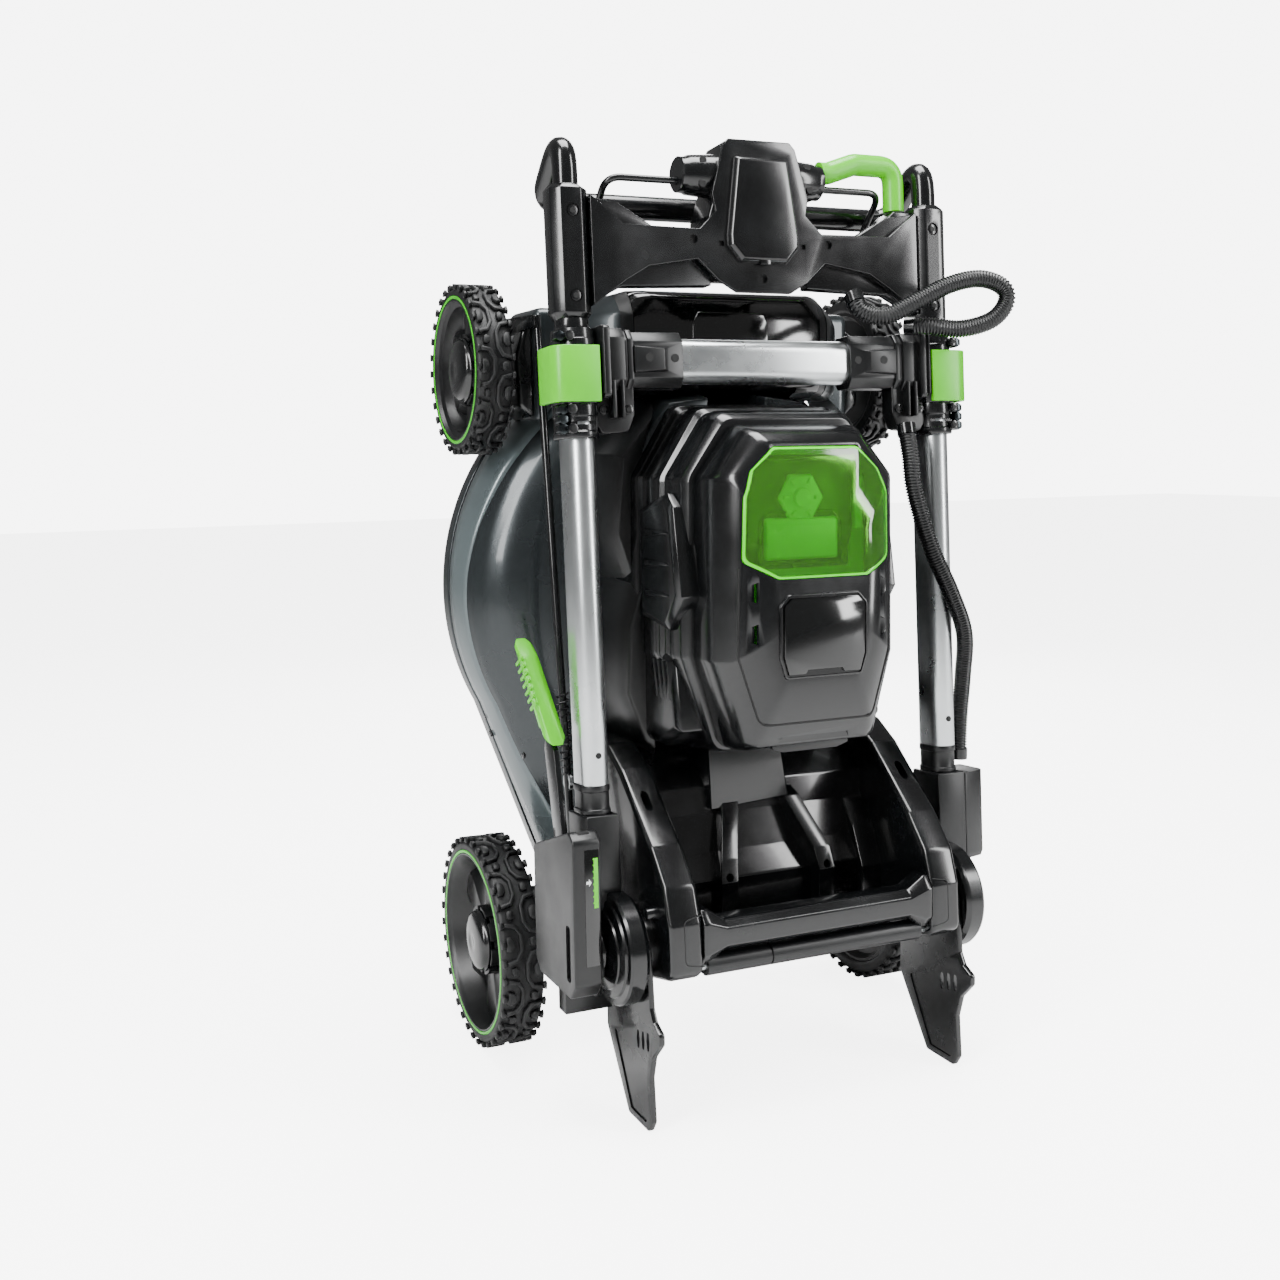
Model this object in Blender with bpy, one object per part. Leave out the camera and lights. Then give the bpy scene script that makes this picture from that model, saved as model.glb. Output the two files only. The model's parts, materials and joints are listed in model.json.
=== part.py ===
"""Cordless walk-behind lawn mower, folded and standing on its rear wheels and two storage legs.

Metres, +Z up. The stand frame has the rear axle at Y = 0: +Z is the mower's front, -Y its top,
+X its right side. The handle frame turns with the folded handle: its z runs along the tubes.
"""
from math import cos, hypot, pi, radians, sin

import bmesh
import bpy
from mathutils import Matrix, Vector

# Clearances
GAP = 0.0003              # between pieces that touch
RUN = 0.0005              # radial, between a shaft or tube and what it turns or slides in

# Wheels and axles
WHEELBASE = 0.616
REAR_TYRE_R = 0.1145
FRONT_TYRE_R = 0.089
REAR_WHEEL_W = 0.047
FRONT_WHEEL_W = 0.040
TYRE_DEPTH = 0.020
WHEEL_INNER_X = 0.2165
STUB_R = 0.006
HUB_R = 0.028
HUBCAP_R = 0.033
CRANK = 0.045             # height-adjuster crank, pivot to wheel axle
CRANK_TUBE_R = 0.008
CRANK_PLATE = 0.006
CRANK_X = 0.200           # inner face of the crank plates
FRONT_AXLE_Y = 0.0233

# Deck
DECK_R = 0.262            # outside radius round the blade
DECK_CENTRE_Z = 0.495
DECK_SKIRT_Y = 0.062
DECK_TOP_Y = -0.044
DECK_REAR_HALF = 0.165
DECK_REAR_Z = 0.190
DECK_WALL = 0.0025
APRON_HALF = 0.188
APRON_LOW_Z = DECK_CENTRE_Z + (DECK_R ** 2 - APRON_HALF ** 2) ** 0.5 - 0.0035   # where its sides meet the deck
APRON_TOP_Z = REAR_TYRE_R + WHEELBASE + 0.0615
REAR_CHEEK_X = 0.155

# Cutting drive
BLADE_TIP_R = DECK_R - 0.012
BLADE_WIDTH = 0.056
BLADE_THICK = 0.004
BLADE_Y = 0.030
SHAFT_R = 0.008
MOTOR_R = 0.065
MOTOR_LENGTH = 0.097

# Motor housing, battery
COVER_WALL = 0.003
BASE_SPLIT_Y = -0.235     # where the cover meets the base
COVER_EDGE_Y = -0.283
COVER_FACE_Y = -0.3035
BADGE_FACE_Y = -0.3075
LID_GAP = 0.0008
BATTERY_HALF = 0.060
BATTERY_FRONT_Y = -0.258
BATTERY_DEPTH = 0.105
BATTERY_LOW_Z = 0.532
BATTERY_HIGH_Z = 0.634

# Rear housing, storage legs, door
ARM_INNER_X = 0.128
ARM_OUTER_X = 0.1625
PIVOT_Y = -0.239          # handle pivot
PIVOT_Z = 0.172
LEG_INNER_X = 0.172
LEG_THICK = 0.006
CHUTE_HALF = 0.125
CHUTE_TOP_Y = -0.165
CHUTE_REAR_Z = 0.160
DOOR_HALF = 0.120
DOOR_ROD_R = 0.005
DOOR_ROD_Y = -0.285
DOOR_ROD_Z = 0.158
DOOR_KNUCKLE_R = 0.0105
DOOR_THICK = 0.004
DOOR_EDGE_Y = -0.032
GRAB_Y = -0.286
GRAB_Z = 0.1885
GRAB_HALF_Y = 0.0165
GRAB_HALF_Z = 0.0155
GRAB_TENON = 0.010        # half the side of the square end in each arm
GRAB_TENON_X = 0.140

# Handle
HANDLE_LEAN = radians(3.6)
TUBE_X = 0.200
TUBE_Y = 0.0242           # tube centre line behind the pivot
OVAL_W = 0.027
OVAL_D = 0.044
OVAL_WALL = 0.0012
GRIP_TUBE_R = 0.012
LOWER_TUBE_LOW = 0.157
LOWER_TUBE_HIGH = 0.506
DISC_R = 0.055
DISC_INNER_X = 0.1785
DISC_OUTER_X = 0.2125
BRACKET_INNER_X = 0.183
BRACKET_OUTER_X = 0.2165
BRACKET_TOP = 0.129
CLAMP_LOW = 0.486
CLAMP_HIGH = 0.588
CROSSBAR_Z = 0.5595
CROSSBAR_Y = 0.022
SOCKET_END_X = 0.094
CROSSBAR_HALF = 0.172
HOUSING_LOW = 0.596
HOUSING_HIGH = 0.7225
HOUSING_INNER_X = 0.1818
HOUSING_OUTER_X = 0.2195
BEAM_FRONT = 0.010
BEAM_BACK = 0.034
CONSOLE_SPLIT = 0.014
CONSOLE_BACK = 0.060
CONSOLE_HALF = 0.056
BOSS_Y = 0.035
BOSS_Z = 0.742
BOSS_R = 0.0195
BOSS_END_X = 0.0795
BAIL_PIN = 0.4             # the drive bail's pin, as a share of its radius
GRIP_BEND_Y = 0.088
GRIP_BEND_Z = 0.720
GRIP_APEX_Z = 0.757
WIRE_R = 0.0035
BAIL_R = 0.011
WIRE_Z = 0.736            # the bails' two axes
BAIL_Z = 0.7525
CLAMP_LEVER_LOW = 0.519
CLAMP_LEVER_HIGH = 0.571

# Height adjuster
LEVER_X = 0.228           # inner face of the lever
LEVER_THICK = 0.006
LEVER_PIN_R = 0.008
ROD_X = 0.1915
ROD_R = 0.004
ROD_LOW = (-0.137, PIVOT_Z)
ROD_HIGH = (-0.060, REAR_TYRE_R + WHEELBASE + CRANK)
SPRING_LOW = 0.315
SPRING_HIGH = 0.400
SPRING_TURNS = 12
SPRING_MEAN_R = 0.0062
SPRING_WIRE_R = 0.0010

# Cable conduit
CONDUIT_R = 0.009
LOOP_ROUTE = (
    (0.098, -0.196, 0.797), (0.101, -0.207, 0.780), (0.122, -0.219, 0.774),
    (0.152, -0.228, 0.788), (0.187, -0.236, 0.805), (0.219, -0.243, 0.811),
    (0.243, -0.248, 0.803), (0.2465, -0.249, 0.787), (0.231, -0.246, 0.770),
    (0.200, -0.238, 0.7615), (0.170, -0.226, 0.7645), (0.153, -0.208, 0.7665),
)
LOWER_ROUTE = (
    (0.152, -0.212, 0.666), (0.1505, -0.222, 0.636), (0.1535, -0.227, 0.597),
    (0.172, -0.2305, 0.540), (0.199, -0.2285, 0.491), (0.2205, -0.2225, 0.447),
    (0.2285, -0.210, 0.400), (0.2295, -0.204, 0.355), (0.2285, -0.2035, 0.308),
)

# The stand frame is moved so that the whole mower is centred over the origin in Y.
STAND_Y = -(BADGE_FACE_Y + REAR_TYRE_R) / 2

REAR_AXLE_Z = REAR_TYRE_R
FRONT_AXLE_Z = REAR_AXLE_Z + WHEELBASE
ROUND = 24                # sides of a round piece

FINISHES = {
    "deck_grey": ((0.052, 0.062, 0.066, 1), 0.30, 0.4),
    "black_plastic": ((0.010, 0.011, 0.012, 1), 0.38, 0.0),
    "gloss_black": ((0.006, 0.007, 0.008, 1), 0.12, 0.0),
    "lime": ((0.13, 0.85, 0.01, 1), 0.35, 0.0),
    "clear_green": ((0.10, 0.90, 0.05, 1), 0.10, 0.0),
    "aluminium": ((0.72, 0.75, 0.76, 1), 0.32, 1.0),
    "steel": ((0.45, 0.46, 0.47, 1), 0.35, 1.0),
    "black_steel": ((0.012, 0.013, 0.014, 1), 0.30, 0.6),
    "rubber": ((0.012, 0.013, 0.013, 1), 0.75, 0.0),
}


def finish(name):
    """The Principled material of this finish."""
    material = bpy.data.materials.get(name)
    if material is None:
        colour, rough, metal = FINISHES[name]
        material = bpy.data.materials.new(name)
        material.use_nodes = True
        shader = material.node_tree.nodes["Principled BSDF"]
        shader.inputs["Base Color"].default_value = colour
        shader.inputs["Roughness"].default_value = rough
        shader.inputs["Metallic"].default_value = metal
        material.diffuse_color = colour
    return material


def frame(name, location, parent=None, turn=0.0):
    """An empty that pieces are placed by, turned about X."""
    empty = bpy.data.objects.new(name, None)
    bpy.context.scene.collection.objects.link(empty)
    empty.location = location
    empty.rotation_euler.x = turn
    empty.parent = parent
    return empty


def place(name, bm, parent, origin=(0, 0, 0), mirrored=False):
    """An object that holds this mesh, with its origin at a point of the parent's frame."""
    if mirrored:
        bmesh.ops.scale(bm, vec=(-1, 1, 1), verts=bm.verts)
    bmesh.ops.translate(bm, vec=-Vector(origin), verts=bm.verts)
    bmesh.ops.recalc_face_normals(bm, faces=bm.faces)
    mesh = bpy.data.meshes.new(name)
    bm.to_mesh(mesh)
    bm.free()
    mesh.shade_smooth()
    mesh.set_sharp_from_angle(angle=radians(35))
    obj = bpy.data.objects.new(name, mesh)
    bpy.context.scene.collection.objects.link(obj)
    obj.location = origin
    obj.parent = parent
    return obj


def piece(name, bm, look, parent, origin=(0, 0, 0), mirrored=False):
    """A visible sub-part."""
    obj = place(name, bm, parent, origin, mirrored)
    obj.data.materials.append(finish(look))
    return obj


def shape(obj, operation, *solids, mirrored=False):
    """Unites each of these meshes with the object, or cuts it with them, by Boolean modifiers."""
    for index, bm in enumerate(solids):
        helper = place(f"{obj.name}_{operation.lower()}_{index}", bm, obj.parent, mirrored=mirrored)
        helper.hide_render = True
        helper.display_type = "WIRE"
        modifier = obj.modifiers.new(operation.title(), "BOOLEAN")
        modifier.operation = operation
        modifier.solver = "EXACT"
        modifier.object = helper
    return obj


def axes(axis):
    """The places of an outline's two coordinates and of its extrusion, for this axis."""
    return {"X": (1, 2, 0), "Y": (0, 2, 1), "Z": (0, 1, 2)}[axis]


def prism(axis, outline, low, high):
    """An outline extruded along an axis."""
    first, second, along = axes(axis)
    bm = bmesh.new()
    verts = []
    for a, b in outline:
        point = [0.0, 0.0, 0.0]
        point[first], point[second], point[along] = a, b, low
        verts.append(bm.verts.new(point))
    face = bm.faces.new(verts)
    grown = bmesh.ops.extrude_face_region(bm, geom=[face])["geom"]
    move = Vector((0, 0, 0))
    move[along] = high - low
    bmesh.ops.translate(bm, vec=move, verts=[v for v in grown if isinstance(v, bmesh.types.BMVert)])
    return bm


def box(x, y, z):
    """A box between these pairs of limits."""
    return prism("Z", [(x[0], y[0]), (x[1], y[0]), (x[1], y[1]), (x[0], y[1])], z[0], z[1])


def circle(centre, radius, steps=ROUND):
    """The points of a circle, one of them straight below its centre."""
    angles = [2 * pi * i / steps - pi / 2 for i in range(steps)]
    return [(centre[0] + radius * cos(a), centre[1] + radius * sin(a)) for a in angles]


def rod(axis, centre, radius, low, high, steps=ROUND):
    """A cylinder along an axis."""
    return prism(axis, circle(centre, radius, steps), low, high)


def oval(centre, width, depth, grow=0.0, steps=12):
    """A flat-sided oval, longer along its second coordinate."""
    radius = width / 2 + grow
    straight = (depth - width) / 2
    points = []
    for end, start in ((-1, pi), (1, 0)):
        for i in range(steps // 2 + 1):
            a = start + pi * i / (steps // 2)
            points.append((centre[0] + radius * cos(a), centre[1] + end * straight + radius * sin(a)))
    return points


def turned(centre, profile, steps=ROUND):
    """A closed section of (radius, x) points spun round an X axis through this (y, z)."""
    bm = bmesh.new()
    verts = [bm.verts.new((x, centre[0], centre[1] - r)) for r, x in profile]
    edges = [bm.edges.new((verts[i - 1], verts[i])) for i in range(len(verts))]
    bmesh.ops.spin(
        bm, geom=verts + edges, cent=(0, centre[0], centre[1]), axis=(1, 0, 0),
        angle=2 * pi, steps=steps, use_merge=True)
    return bm


def loft(rings, ends=(True, True)):
    """A skin over rings of equal length, with its ends closed or left open."""
    bm = bmesh.new()
    loops = [[bm.verts.new(point) for point in ring] for ring in rings]
    for lower, upper in zip(loops, loops[1:]):
        for i in range(len(lower)):
            bm.faces.new((lower[i - 1], lower[i], upper[i], upper[i - 1]))
    if ends[0]:
        bm.faces.new(loops[0])
    if ends[1]:
        bm.faces.new(loops[-1])
    return bm


def thicken(obj, wall):
    """Gives an open skin its wall, inwards."""
    modifier = obj.modifiers.new("Wall", "SOLIDIFY")
    modifier.thickness = wall
    modifier.offset = -1
    modifier.use_even_offset = True
    return obj


def mirrored_outline(half):
    """A closed outline from its right half, listed from bottom to top."""
    return half + [(-x, z) for x, z in reversed(half)]


def filleted(corners, radius, steps=6):
    """Points along straight runs whose corners are rounded to one radius."""
    points = [Vector(corners[0])]
    for before, at, after in zip(corners, corners[1:], corners[2:]):
        at = Vector(at)
        back = (Vector(before) - at).normalized()
        on = (Vector(after) - at).normalized()
        half = back.angle(on) / 2
        reach = radius * cos(half) / sin(half)
        centre = at + (back + on).normalized() * (radius / sin(half))
        start, end = at + back * reach - centre, at + on * reach - centre
        sweep = start.angle(end)
        for i in range(steps + 1):
            t = i / steps
            points.append(centre + (start * sin((1 - t) * sweep) + end * sin(t * sweep)) / sin(sweep))
    return points + [Vector(corners[-1])]


def smooth_route(points, spacing):
    """Points along a smooth curve through a hand-laid route, an even distance apart."""
    route = [Vector(p) for p in points]
    route = [2 * route[0] - route[1]] + route + [2 * route[-1] - route[-2]]
    fine = []
    for a, b, c, d in zip(route, route[1:], route[2:], route[3:]):
        for i in range(16):
            t = i / 16
            fine.append(0.5 * ((2 * b) + (c - a) * t + (2 * a - 5 * b + 4 * c - d) * t * t
                               + (3 * b - a - 3 * c + d) * t ** 3))
    fine.append(route[-2])
    total = sum((q - p).length for p, q in zip(fine, fine[1:]))
    count = max(2, round(total / spacing))
    even, walked, target = [fine[0]], 0.0, total / count
    for p, q in zip(fine, fine[1:]):
        step = (q - p).length
        while walked + step >= target - 1e-9 and len(even) < count:
            even.append(p.lerp(q, (target - walked) / step))
            target += total / count
        walked += step
    return even + [fine[-1]]


def pipe(name, points, radius, look, parent, origin=(0, 0, 0), resolution=2):
    """A round bar or cable along these points, as a bevelled curve with filled ends."""
    curve = bpy.data.curves.new(name, "CURVE")
    curve.dimensions = "3D"
    curve.bevel_depth = radius
    curve.bevel_resolution = resolution
    curve.use_fill_caps = True
    spline = curve.splines.new("POLY")
    spline.points.add(len(points) - 1)
    for target, point in zip(spline.points, points):
        target.co = (*(Vector(point) - Vector(origin)), 1)
    spline.use_smooth = True
    curve.materials.append(finish(look))
    obj = bpy.data.objects.new(name, curve)
    bpy.context.scene.collection.objects.link(obj)
    obj.location = origin
    obj.parent = parent
    return obj


# ---------------------------------------------------------------- deck and nose

def deck_outline(inset):
    """The deck's plan: an arc round the blade that runs out into a tapered tail."""
    radius = DECK_R - inset
    foot = radians(-28)
    half = [(DECK_REAR_HALF - inset, DECK_REAR_Z + inset * 0.3)]
    for i in range(15):
        a = foot + (pi / 2 - foot) * i / 15
        half.append((radius * cos(a), DECK_CENTRE_Z + radius * sin(a)))
    return mirrored_outline(half)


def build_deck(stand):
    """The pressed deck with its front apron, rear cheeks and discharge opening."""
    rings = []
    for y, inset in ((DECK_SKIRT_Y, 0.0), (0.030, 0.002), (-0.005, 0.012), (-0.030, 0.035),
                     (DECK_TOP_Y, 0.075)):
        rings.append([(x, y, z) for x, z in deck_outline(inset)])
    deck = piece("deck_shell", loft(rings, ends=(False, True)), "deck_grey", stand)
    thicken(deck, DECK_WALL)
    wall = DECK_WALL
    shape(deck, "DIFFERENCE",
          box((-0.118, 0.118), (-0.060, 0.034), (0.10, 0.25)))
    apron = place("apron", box((-APRON_HALF, APRON_HALF), (DECK_TOP_Y, 0.045), (APRON_LOW_Z, APRON_TOP_Z)),
                  stand)
    apron.hide_render = True
    apron.display_type = "WIRE"
    shape(apron, "DIFFERENCE",
          box((-APRON_HALF + wall, APRON_HALF - wall), (DECK_TOP_Y + wall, 0.1), (0.60, APRON_TOP_Z - wall)),
          prism("Y", [(x, z) for x, z in deck_outline(wall / 2)], DECK_TOP_Y - 0.01, 0.1))
    modifier = deck.modifiers.new("Apron", "BOOLEAN")
    modifier.operation = "UNION"
    modifier.object = apron
    cheek = [(-0.036, 0.30), (-0.036, 0.150), (-0.018, 0.138), (0.020, 0.138), (0.034, 0.160), (0.034, 0.30)]
    for side in (False, True):
        shape(deck, "UNION", prism("X", cheek, REAR_CHEEK_X, REAR_CHEEK_X + 0.006), mirrored=side)
    shape(deck, "DIFFERENCE",
          rod("X", (0.0, REAR_AXLE_Z + CRANK), CRANK_TUBE_R + RUN, -0.3, 0.3, 16),
          rod("X", (FRONT_AXLE_Y, FRONT_AXLE_Z + CRANK), CRANK_TUBE_R + RUN, -0.3, 0.3, 16),
          rod("Y", (0.0, DECK_CENTRE_Z), SHAFT_R + 0.0015, -0.1, 0.0, 16))
    return deck


def build_nose(stand):
    """The glossy front cover that stands on the apron."""
    def ring(y, half, low, high, corner):
        return [(x, y, z) for x, z in mirrored_outline(
            [(half, low), (half, high - corner), (half - corner, high)])]
    foot = DECK_TOP_Y + 0.004
    rings = [ring(foot, 0.168, 0.695, 0.791, 0.020), ring(-0.075, 0.150, 0.697, 0.801, 0.024),
             ring(-0.104, 0.128, 0.701, 0.8055, 0.024), ring(-0.117, 0.108, 0.708, 0.799, 0.020)]
    nose = piece("nose_cover", loft(rings, ends=(False, True)), "gloss_black", stand)
    thicken(nose, COVER_WALL)
    return shape(nose, "DIFFERENCE", box((-0.2, 0.2), (DECK_TOP_Y - GAP, 0.1), (0.6, 0.9)))


# ---------------------------------------------------------------- motor housing

def cover_outline(grow, middle=0.0):
    """The housing's eight-sided plan, grown outwards, or drawn in towards its middle."""
    half = [(0.0675 + 0.6 * grow, 0.362 - 0.5 * grow), (0.088 + grow, 0.445),
            (0.086 + grow, 0.618), (0.053 + 0.7 * grow, 0.653 + grow)]
    centre = 0.505
    return mirrored_outline([(x * (1 - middle), centre + (z - centre) * (1 - middle)) for x, z in half])


def window_outline(inset=0.0):
    """The battery window, with its lower corners cut off."""
    return mirrored_outline([
        (0.0485 - 0.5 * inset, 0.523 + inset), (0.080 - inset, 0.539 + inset),
        (0.076 - inset, 0.610), (0.046 - 0.5 * inset, 0.6465 - inset)])


def cover_skin():
    """The crowned front of the motor housing."""
    def ring(y, outline):
        return [(x, y, z) for x, z in outline]
    return loft([ring(BASE_SPLIT_Y - GAP, cover_outline(0.014)), ring(-0.262, cover_outline(0.012)),
                 ring(COVER_EDGE_Y, cover_outline(0.0)), ring(COVER_FACE_Y, cover_outline(0.0, 0.45))],
                ends=(False, True))


def build_motor_housing(stand):
    """The base on the deck, the crowned cover, and the hinged battery lid in its window."""
    def ring(y, outline):
        return [(x, y, z) for x, z in outline]
    base = piece("motor_base", loft(
        [ring(DECK_TOP_Y - GAP, cover_outline(0.040)), ring(-0.150, cover_outline(0.034)),
         ring(-0.215, cover_outline(0.028)), ring(BASE_SPLIT_Y, cover_outline(0.018)),
         ring(BASE_SPLIT_Y, cover_outline(0.006)), ring(-0.205, cover_outline(0.021)),
         ring(-0.150, cover_outline(0.030)), ring(DECK_TOP_Y - GAP, cover_outline(0.036))],
        ends=(False, False)), "black_plastic", stand)
    close_ring(base)
    bay_y = BATTERY_FRONT_Y + 0.010
    floor_y = BATTERY_FRONT_Y + BATTERY_DEPTH + GAP
    outer, inner = BATTERY_HALF + 0.0035, BATTERY_HALF + 0.0005
    shape(base, "UNION",
          prism("Y", cover_outline(0.032), floor_y, floor_y + 0.004),
          box((-outer, outer), (bay_y, floor_y + 0.002), (BATTERY_LOW_Z - 0.0035, BATTERY_HIGH_Z + 0.0035)))
    shape(base, "DIFFERENCE",
          box((-inner, inner), (bay_y - 0.01, floor_y), (BATTERY_LOW_Z - 0.0005, BATTERY_HIGH_Z + 0.0005)))
    cover = piece("motor_cover", cover_skin(), "black_plastic", stand)
    thicken(cover, COVER_WALL)
    shape(cover, "DIFFERENCE", prism("Y", window_outline(), -0.40, -0.15))
    shape(cover, "UNION", prism("Y", mirrored_outline(
        [(0.040, 0.431), (0.046, 0.449), (0.036, 0.507)]), BADGE_FACE_Y, COVER_FACE_Y + 0.0015))
    hinge = (0.0, COVER_EDGE_Y - 0.0035, 0.6470)
    lid = piece("battery_lid", cover_skin(), "clear_green", stand, origin=hinge)
    thicken(lid, COVER_WALL)
    shape(lid, "INTERSECT", prism("Y", window_outline(LID_GAP), -0.40, -0.15))
    return cover


def close_ring(obj):
    """Joins the first and last rings of a skin lofted out and back, so that it is a closed wall."""
    bm = bmesh.new()
    bm.from_mesh(obj.data)
    bmesh.ops.bridge_loops(bm, edges=[e for e in bm.edges if e.is_boundary])
    bmesh.ops.recalc_face_normals(bm, faces=bm.faces)
    bm.to_mesh(obj.data)
    bm.free()


def build_battery(stand):
    """The battery pack, which pops up when its release is pressed."""
    back = BATTERY_FRONT_Y + BATTERY_DEPTH
    bm = prism("X", [(BATTERY_FRONT_Y + 0.012, BATTERY_LOW_Z), (back, BATTERY_LOW_Z),
                     (back, BATTERY_HIGH_Z), (BATTERY_FRONT_Y + 0.006, BATTERY_HIGH_Z),
                     (BATTERY_FRONT_Y, BATTERY_HIGH_Z - 0.020), (BATTERY_FRONT_Y, BATTERY_LOW_Z + 0.030)],
               -BATTERY_HALF, BATTERY_HALF)
    pack = piece("battery_pack", bm, "black_plastic", stand, origin=(0, back, BATTERY_LOW_Z))
    release_x = BATTERY_HALF + 0.0035 + GAP
    piece("battery_release", box((release_x, release_x + 0.008), (-0.256, -0.240), (0.565, 0.600)),
          "lime", stand, origin=(release_x + 0.004, -0.240, 0.5825))
    return pack


def build_cutting_drive(stand):
    """Motor can, shaft, blade and blade bolt."""
    low = DECK_TOP_Y - GAP - MOTOR_LENGTH
    centre = (0.0, DECK_CENTRE_Z)
    can = piece("motor_can", rod("Y", centre, MOTOR_R, low, DECK_TOP_Y - GAP), "steel", stand)
    shape(can, "DIFFERENCE", rod("Y", centre, SHAFT_R + RUN, low + 0.025, 0.0, 16))
    top = BLADE_Y - GAP
    origin = (0, BLADE_Y, DECK_CENTRE_Z)
    shaft = piece("motor_shaft", rod("Y", centre, SHAFT_R, low + 0.028, BLADE_Y + BLADE_THICK, 16),
                  "steel", stand, origin=origin)
    shape(shaft, "UNION", rod("Y", centre, 0.024, top - 0.010, top, 16))
    half, tip = BLADE_WIDTH / 2, BLADE_TIP_R
    outline = [(-tip, -half), (tip - 0.03, -half), (tip, -half + 0.012), (tip, half),
               (-tip + 0.03, half), (-tip, half - 0.012)]
    blade = piece("blade", prism("Y", [(x, DECK_CENTRE_Z + z) for x, z in outline],
                                 BLADE_Y, BLADE_Y + BLADE_THICK), "steel", stand, origin=origin)
    shape(blade, "DIFFERENCE", rod("Y", centre, SHAFT_R + GAP, 0, 0.1, 16))
    bolt = BLADE_Y + BLADE_THICK + GAP
    head = piece("blade_bolt", rod("Y", centre, 0.017, bolt, bolt + 0.003, 16), "steel", stand, origin=origin)
    shape(head, "UNION", rod("Y", centre, 0.0105, bolt + 0.001, bolt + 0.011, 6))


# ---------------------------------------------------------------- rear end

def build_rear_housing(stand):
    """The moulded tail: discharge chute, two side arms and the grab bar between them."""
    arm = [(-0.100, 0.352), (-0.150, 0.352), (-0.185, 0.332), (-0.257, 0.272), (-0.288, 0.238),
           (-0.300, 0.205), (-0.303, 0.158), (-0.292, 0.150), (-0.250, 0.140), (-0.205, 0.150),
           (-0.160, 0.170), (-0.060, 0.170), (-0.047, 0.200), (-0.047, 0.352)]
    chute = prism("X", [(DECK_TOP_Y - GAP, CHUTE_REAR_Z), (CHUTE_TOP_Y, CHUTE_REAR_Z),
                        (CHUTE_TOP_Y, 0.250), (-0.130, 0.338), (DECK_TOP_Y - GAP, 0.338)],
                  -CHUTE_HALF - 0.004, CHUTE_HALF + 0.004)
    tail = piece("rear_housing", chute, "black_plastic", stand)
    for side in (False, True):
        shape(tail, "UNION", prism("X", arm, ARM_INNER_X, ARM_OUTER_X),
              rod("X", (PIVOT_Y, PIVOT_Z), 0.030, ARM_INNER_X + 0.01, LEG_INNER_X - GAP), mirrored=side)
    wall = 0.004
    shape(tail, "DIFFERENCE",
          prism("X", [(0.0, 0.10), (CHUTE_TOP_Y + wall, 0.10), (CHUTE_TOP_Y + wall, 0.248),
                      (-0.130 + wall, 0.333), (0.0, 0.333)], -CHUTE_HALF + wall, CHUTE_HALF - wall))
    shape(tail, "DIFFERENCE",
          rod("X", (DOOR_ROD_Y, DOOR_ROD_Z), DOOR_ROD_R + GAP, -0.150, 0.150, 12))
    reach = GRAB_TENON + GAP
    for side in (False, True):
        shape(tail, "DIFFERENCE", box((0.120, GRAB_TENON_X + GAP), (GRAB_Y - reach, GRAB_Y + reach),
                                      (GRAB_Z - reach, GRAB_Z + reach)), mirrored=side)
    return tail


def build_grab_bar(stand):
    """The six-sided bar that the mower is lifted by."""
    def ring(x, grow):
        y, z = GRAB_HALF_Y + grow, GRAB_HALF_Z + grow
        return [(x, GRAB_Y + a * y, GRAB_Z + b * z) for a, b in
                ((-1, -0.55), (-0.45, -1), (0.7, -1), (1, 0), (0.7, 1), (-0.45, 1), (-1, 0.55))]
    inner, outer = 0.098, ARM_INNER_X - GAP
    rings = [ring(-outer, 0.0), ring(-inner, 0.0), ring(inner, 0.0), ring(outer, 0.0)]
    bar = piece("grab_bar", loft(rings), "black_plastic", stand)
    for side in (False, True):
        shape(bar, "UNION", box((0.110, GRAB_TENON_X), (GRAB_Y - GRAB_TENON, GRAB_Y + GRAB_TENON),
                                (GRAB_Z - GRAB_TENON, GRAB_Z + GRAB_TENON)), mirrored=side)
    return bar


def build_legs(stand):
    """The two steel storage legs, each with three slots."""
    outline = [(-0.2315, 0.0), (-0.279, 0.0), (-0.287, 0.012), (-0.283, 0.055), (-0.290, 0.078),
               (-0.3075, 0.096), (-0.3075, 0.106), (-0.293, 0.113), (-0.286, 0.124), (-0.280, 0.180),
               (-0.262, 0.205), (-0.216, 0.205), (-0.196, 0.180), (-0.180, 0.128), (-0.180, 0.072)]
    for name, side in (("leg_left", True), ("leg_right", False)):
        leg = piece(name, prism("X", outline, LEG_INNER_X, LEG_INNER_X + LEG_THICK),
                    "black_steel", stand, mirrored=side)
        for i in range(3):
            y, z = -0.258 - 0.0115 * i, 0.085 + 0.0025 * i
            slot = [(y - 0.002, z - 0.009), (y + 0.002, z - 0.009), (y + 0.0035, z),
                    (y + 0.002, z + 0.009), (y - 0.002, z + 0.009), (y - 0.0035, z)]
            shape(leg, "DIFFERENCE", prism("X", slot, 0.16, 0.19), mirrored=side)


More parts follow.
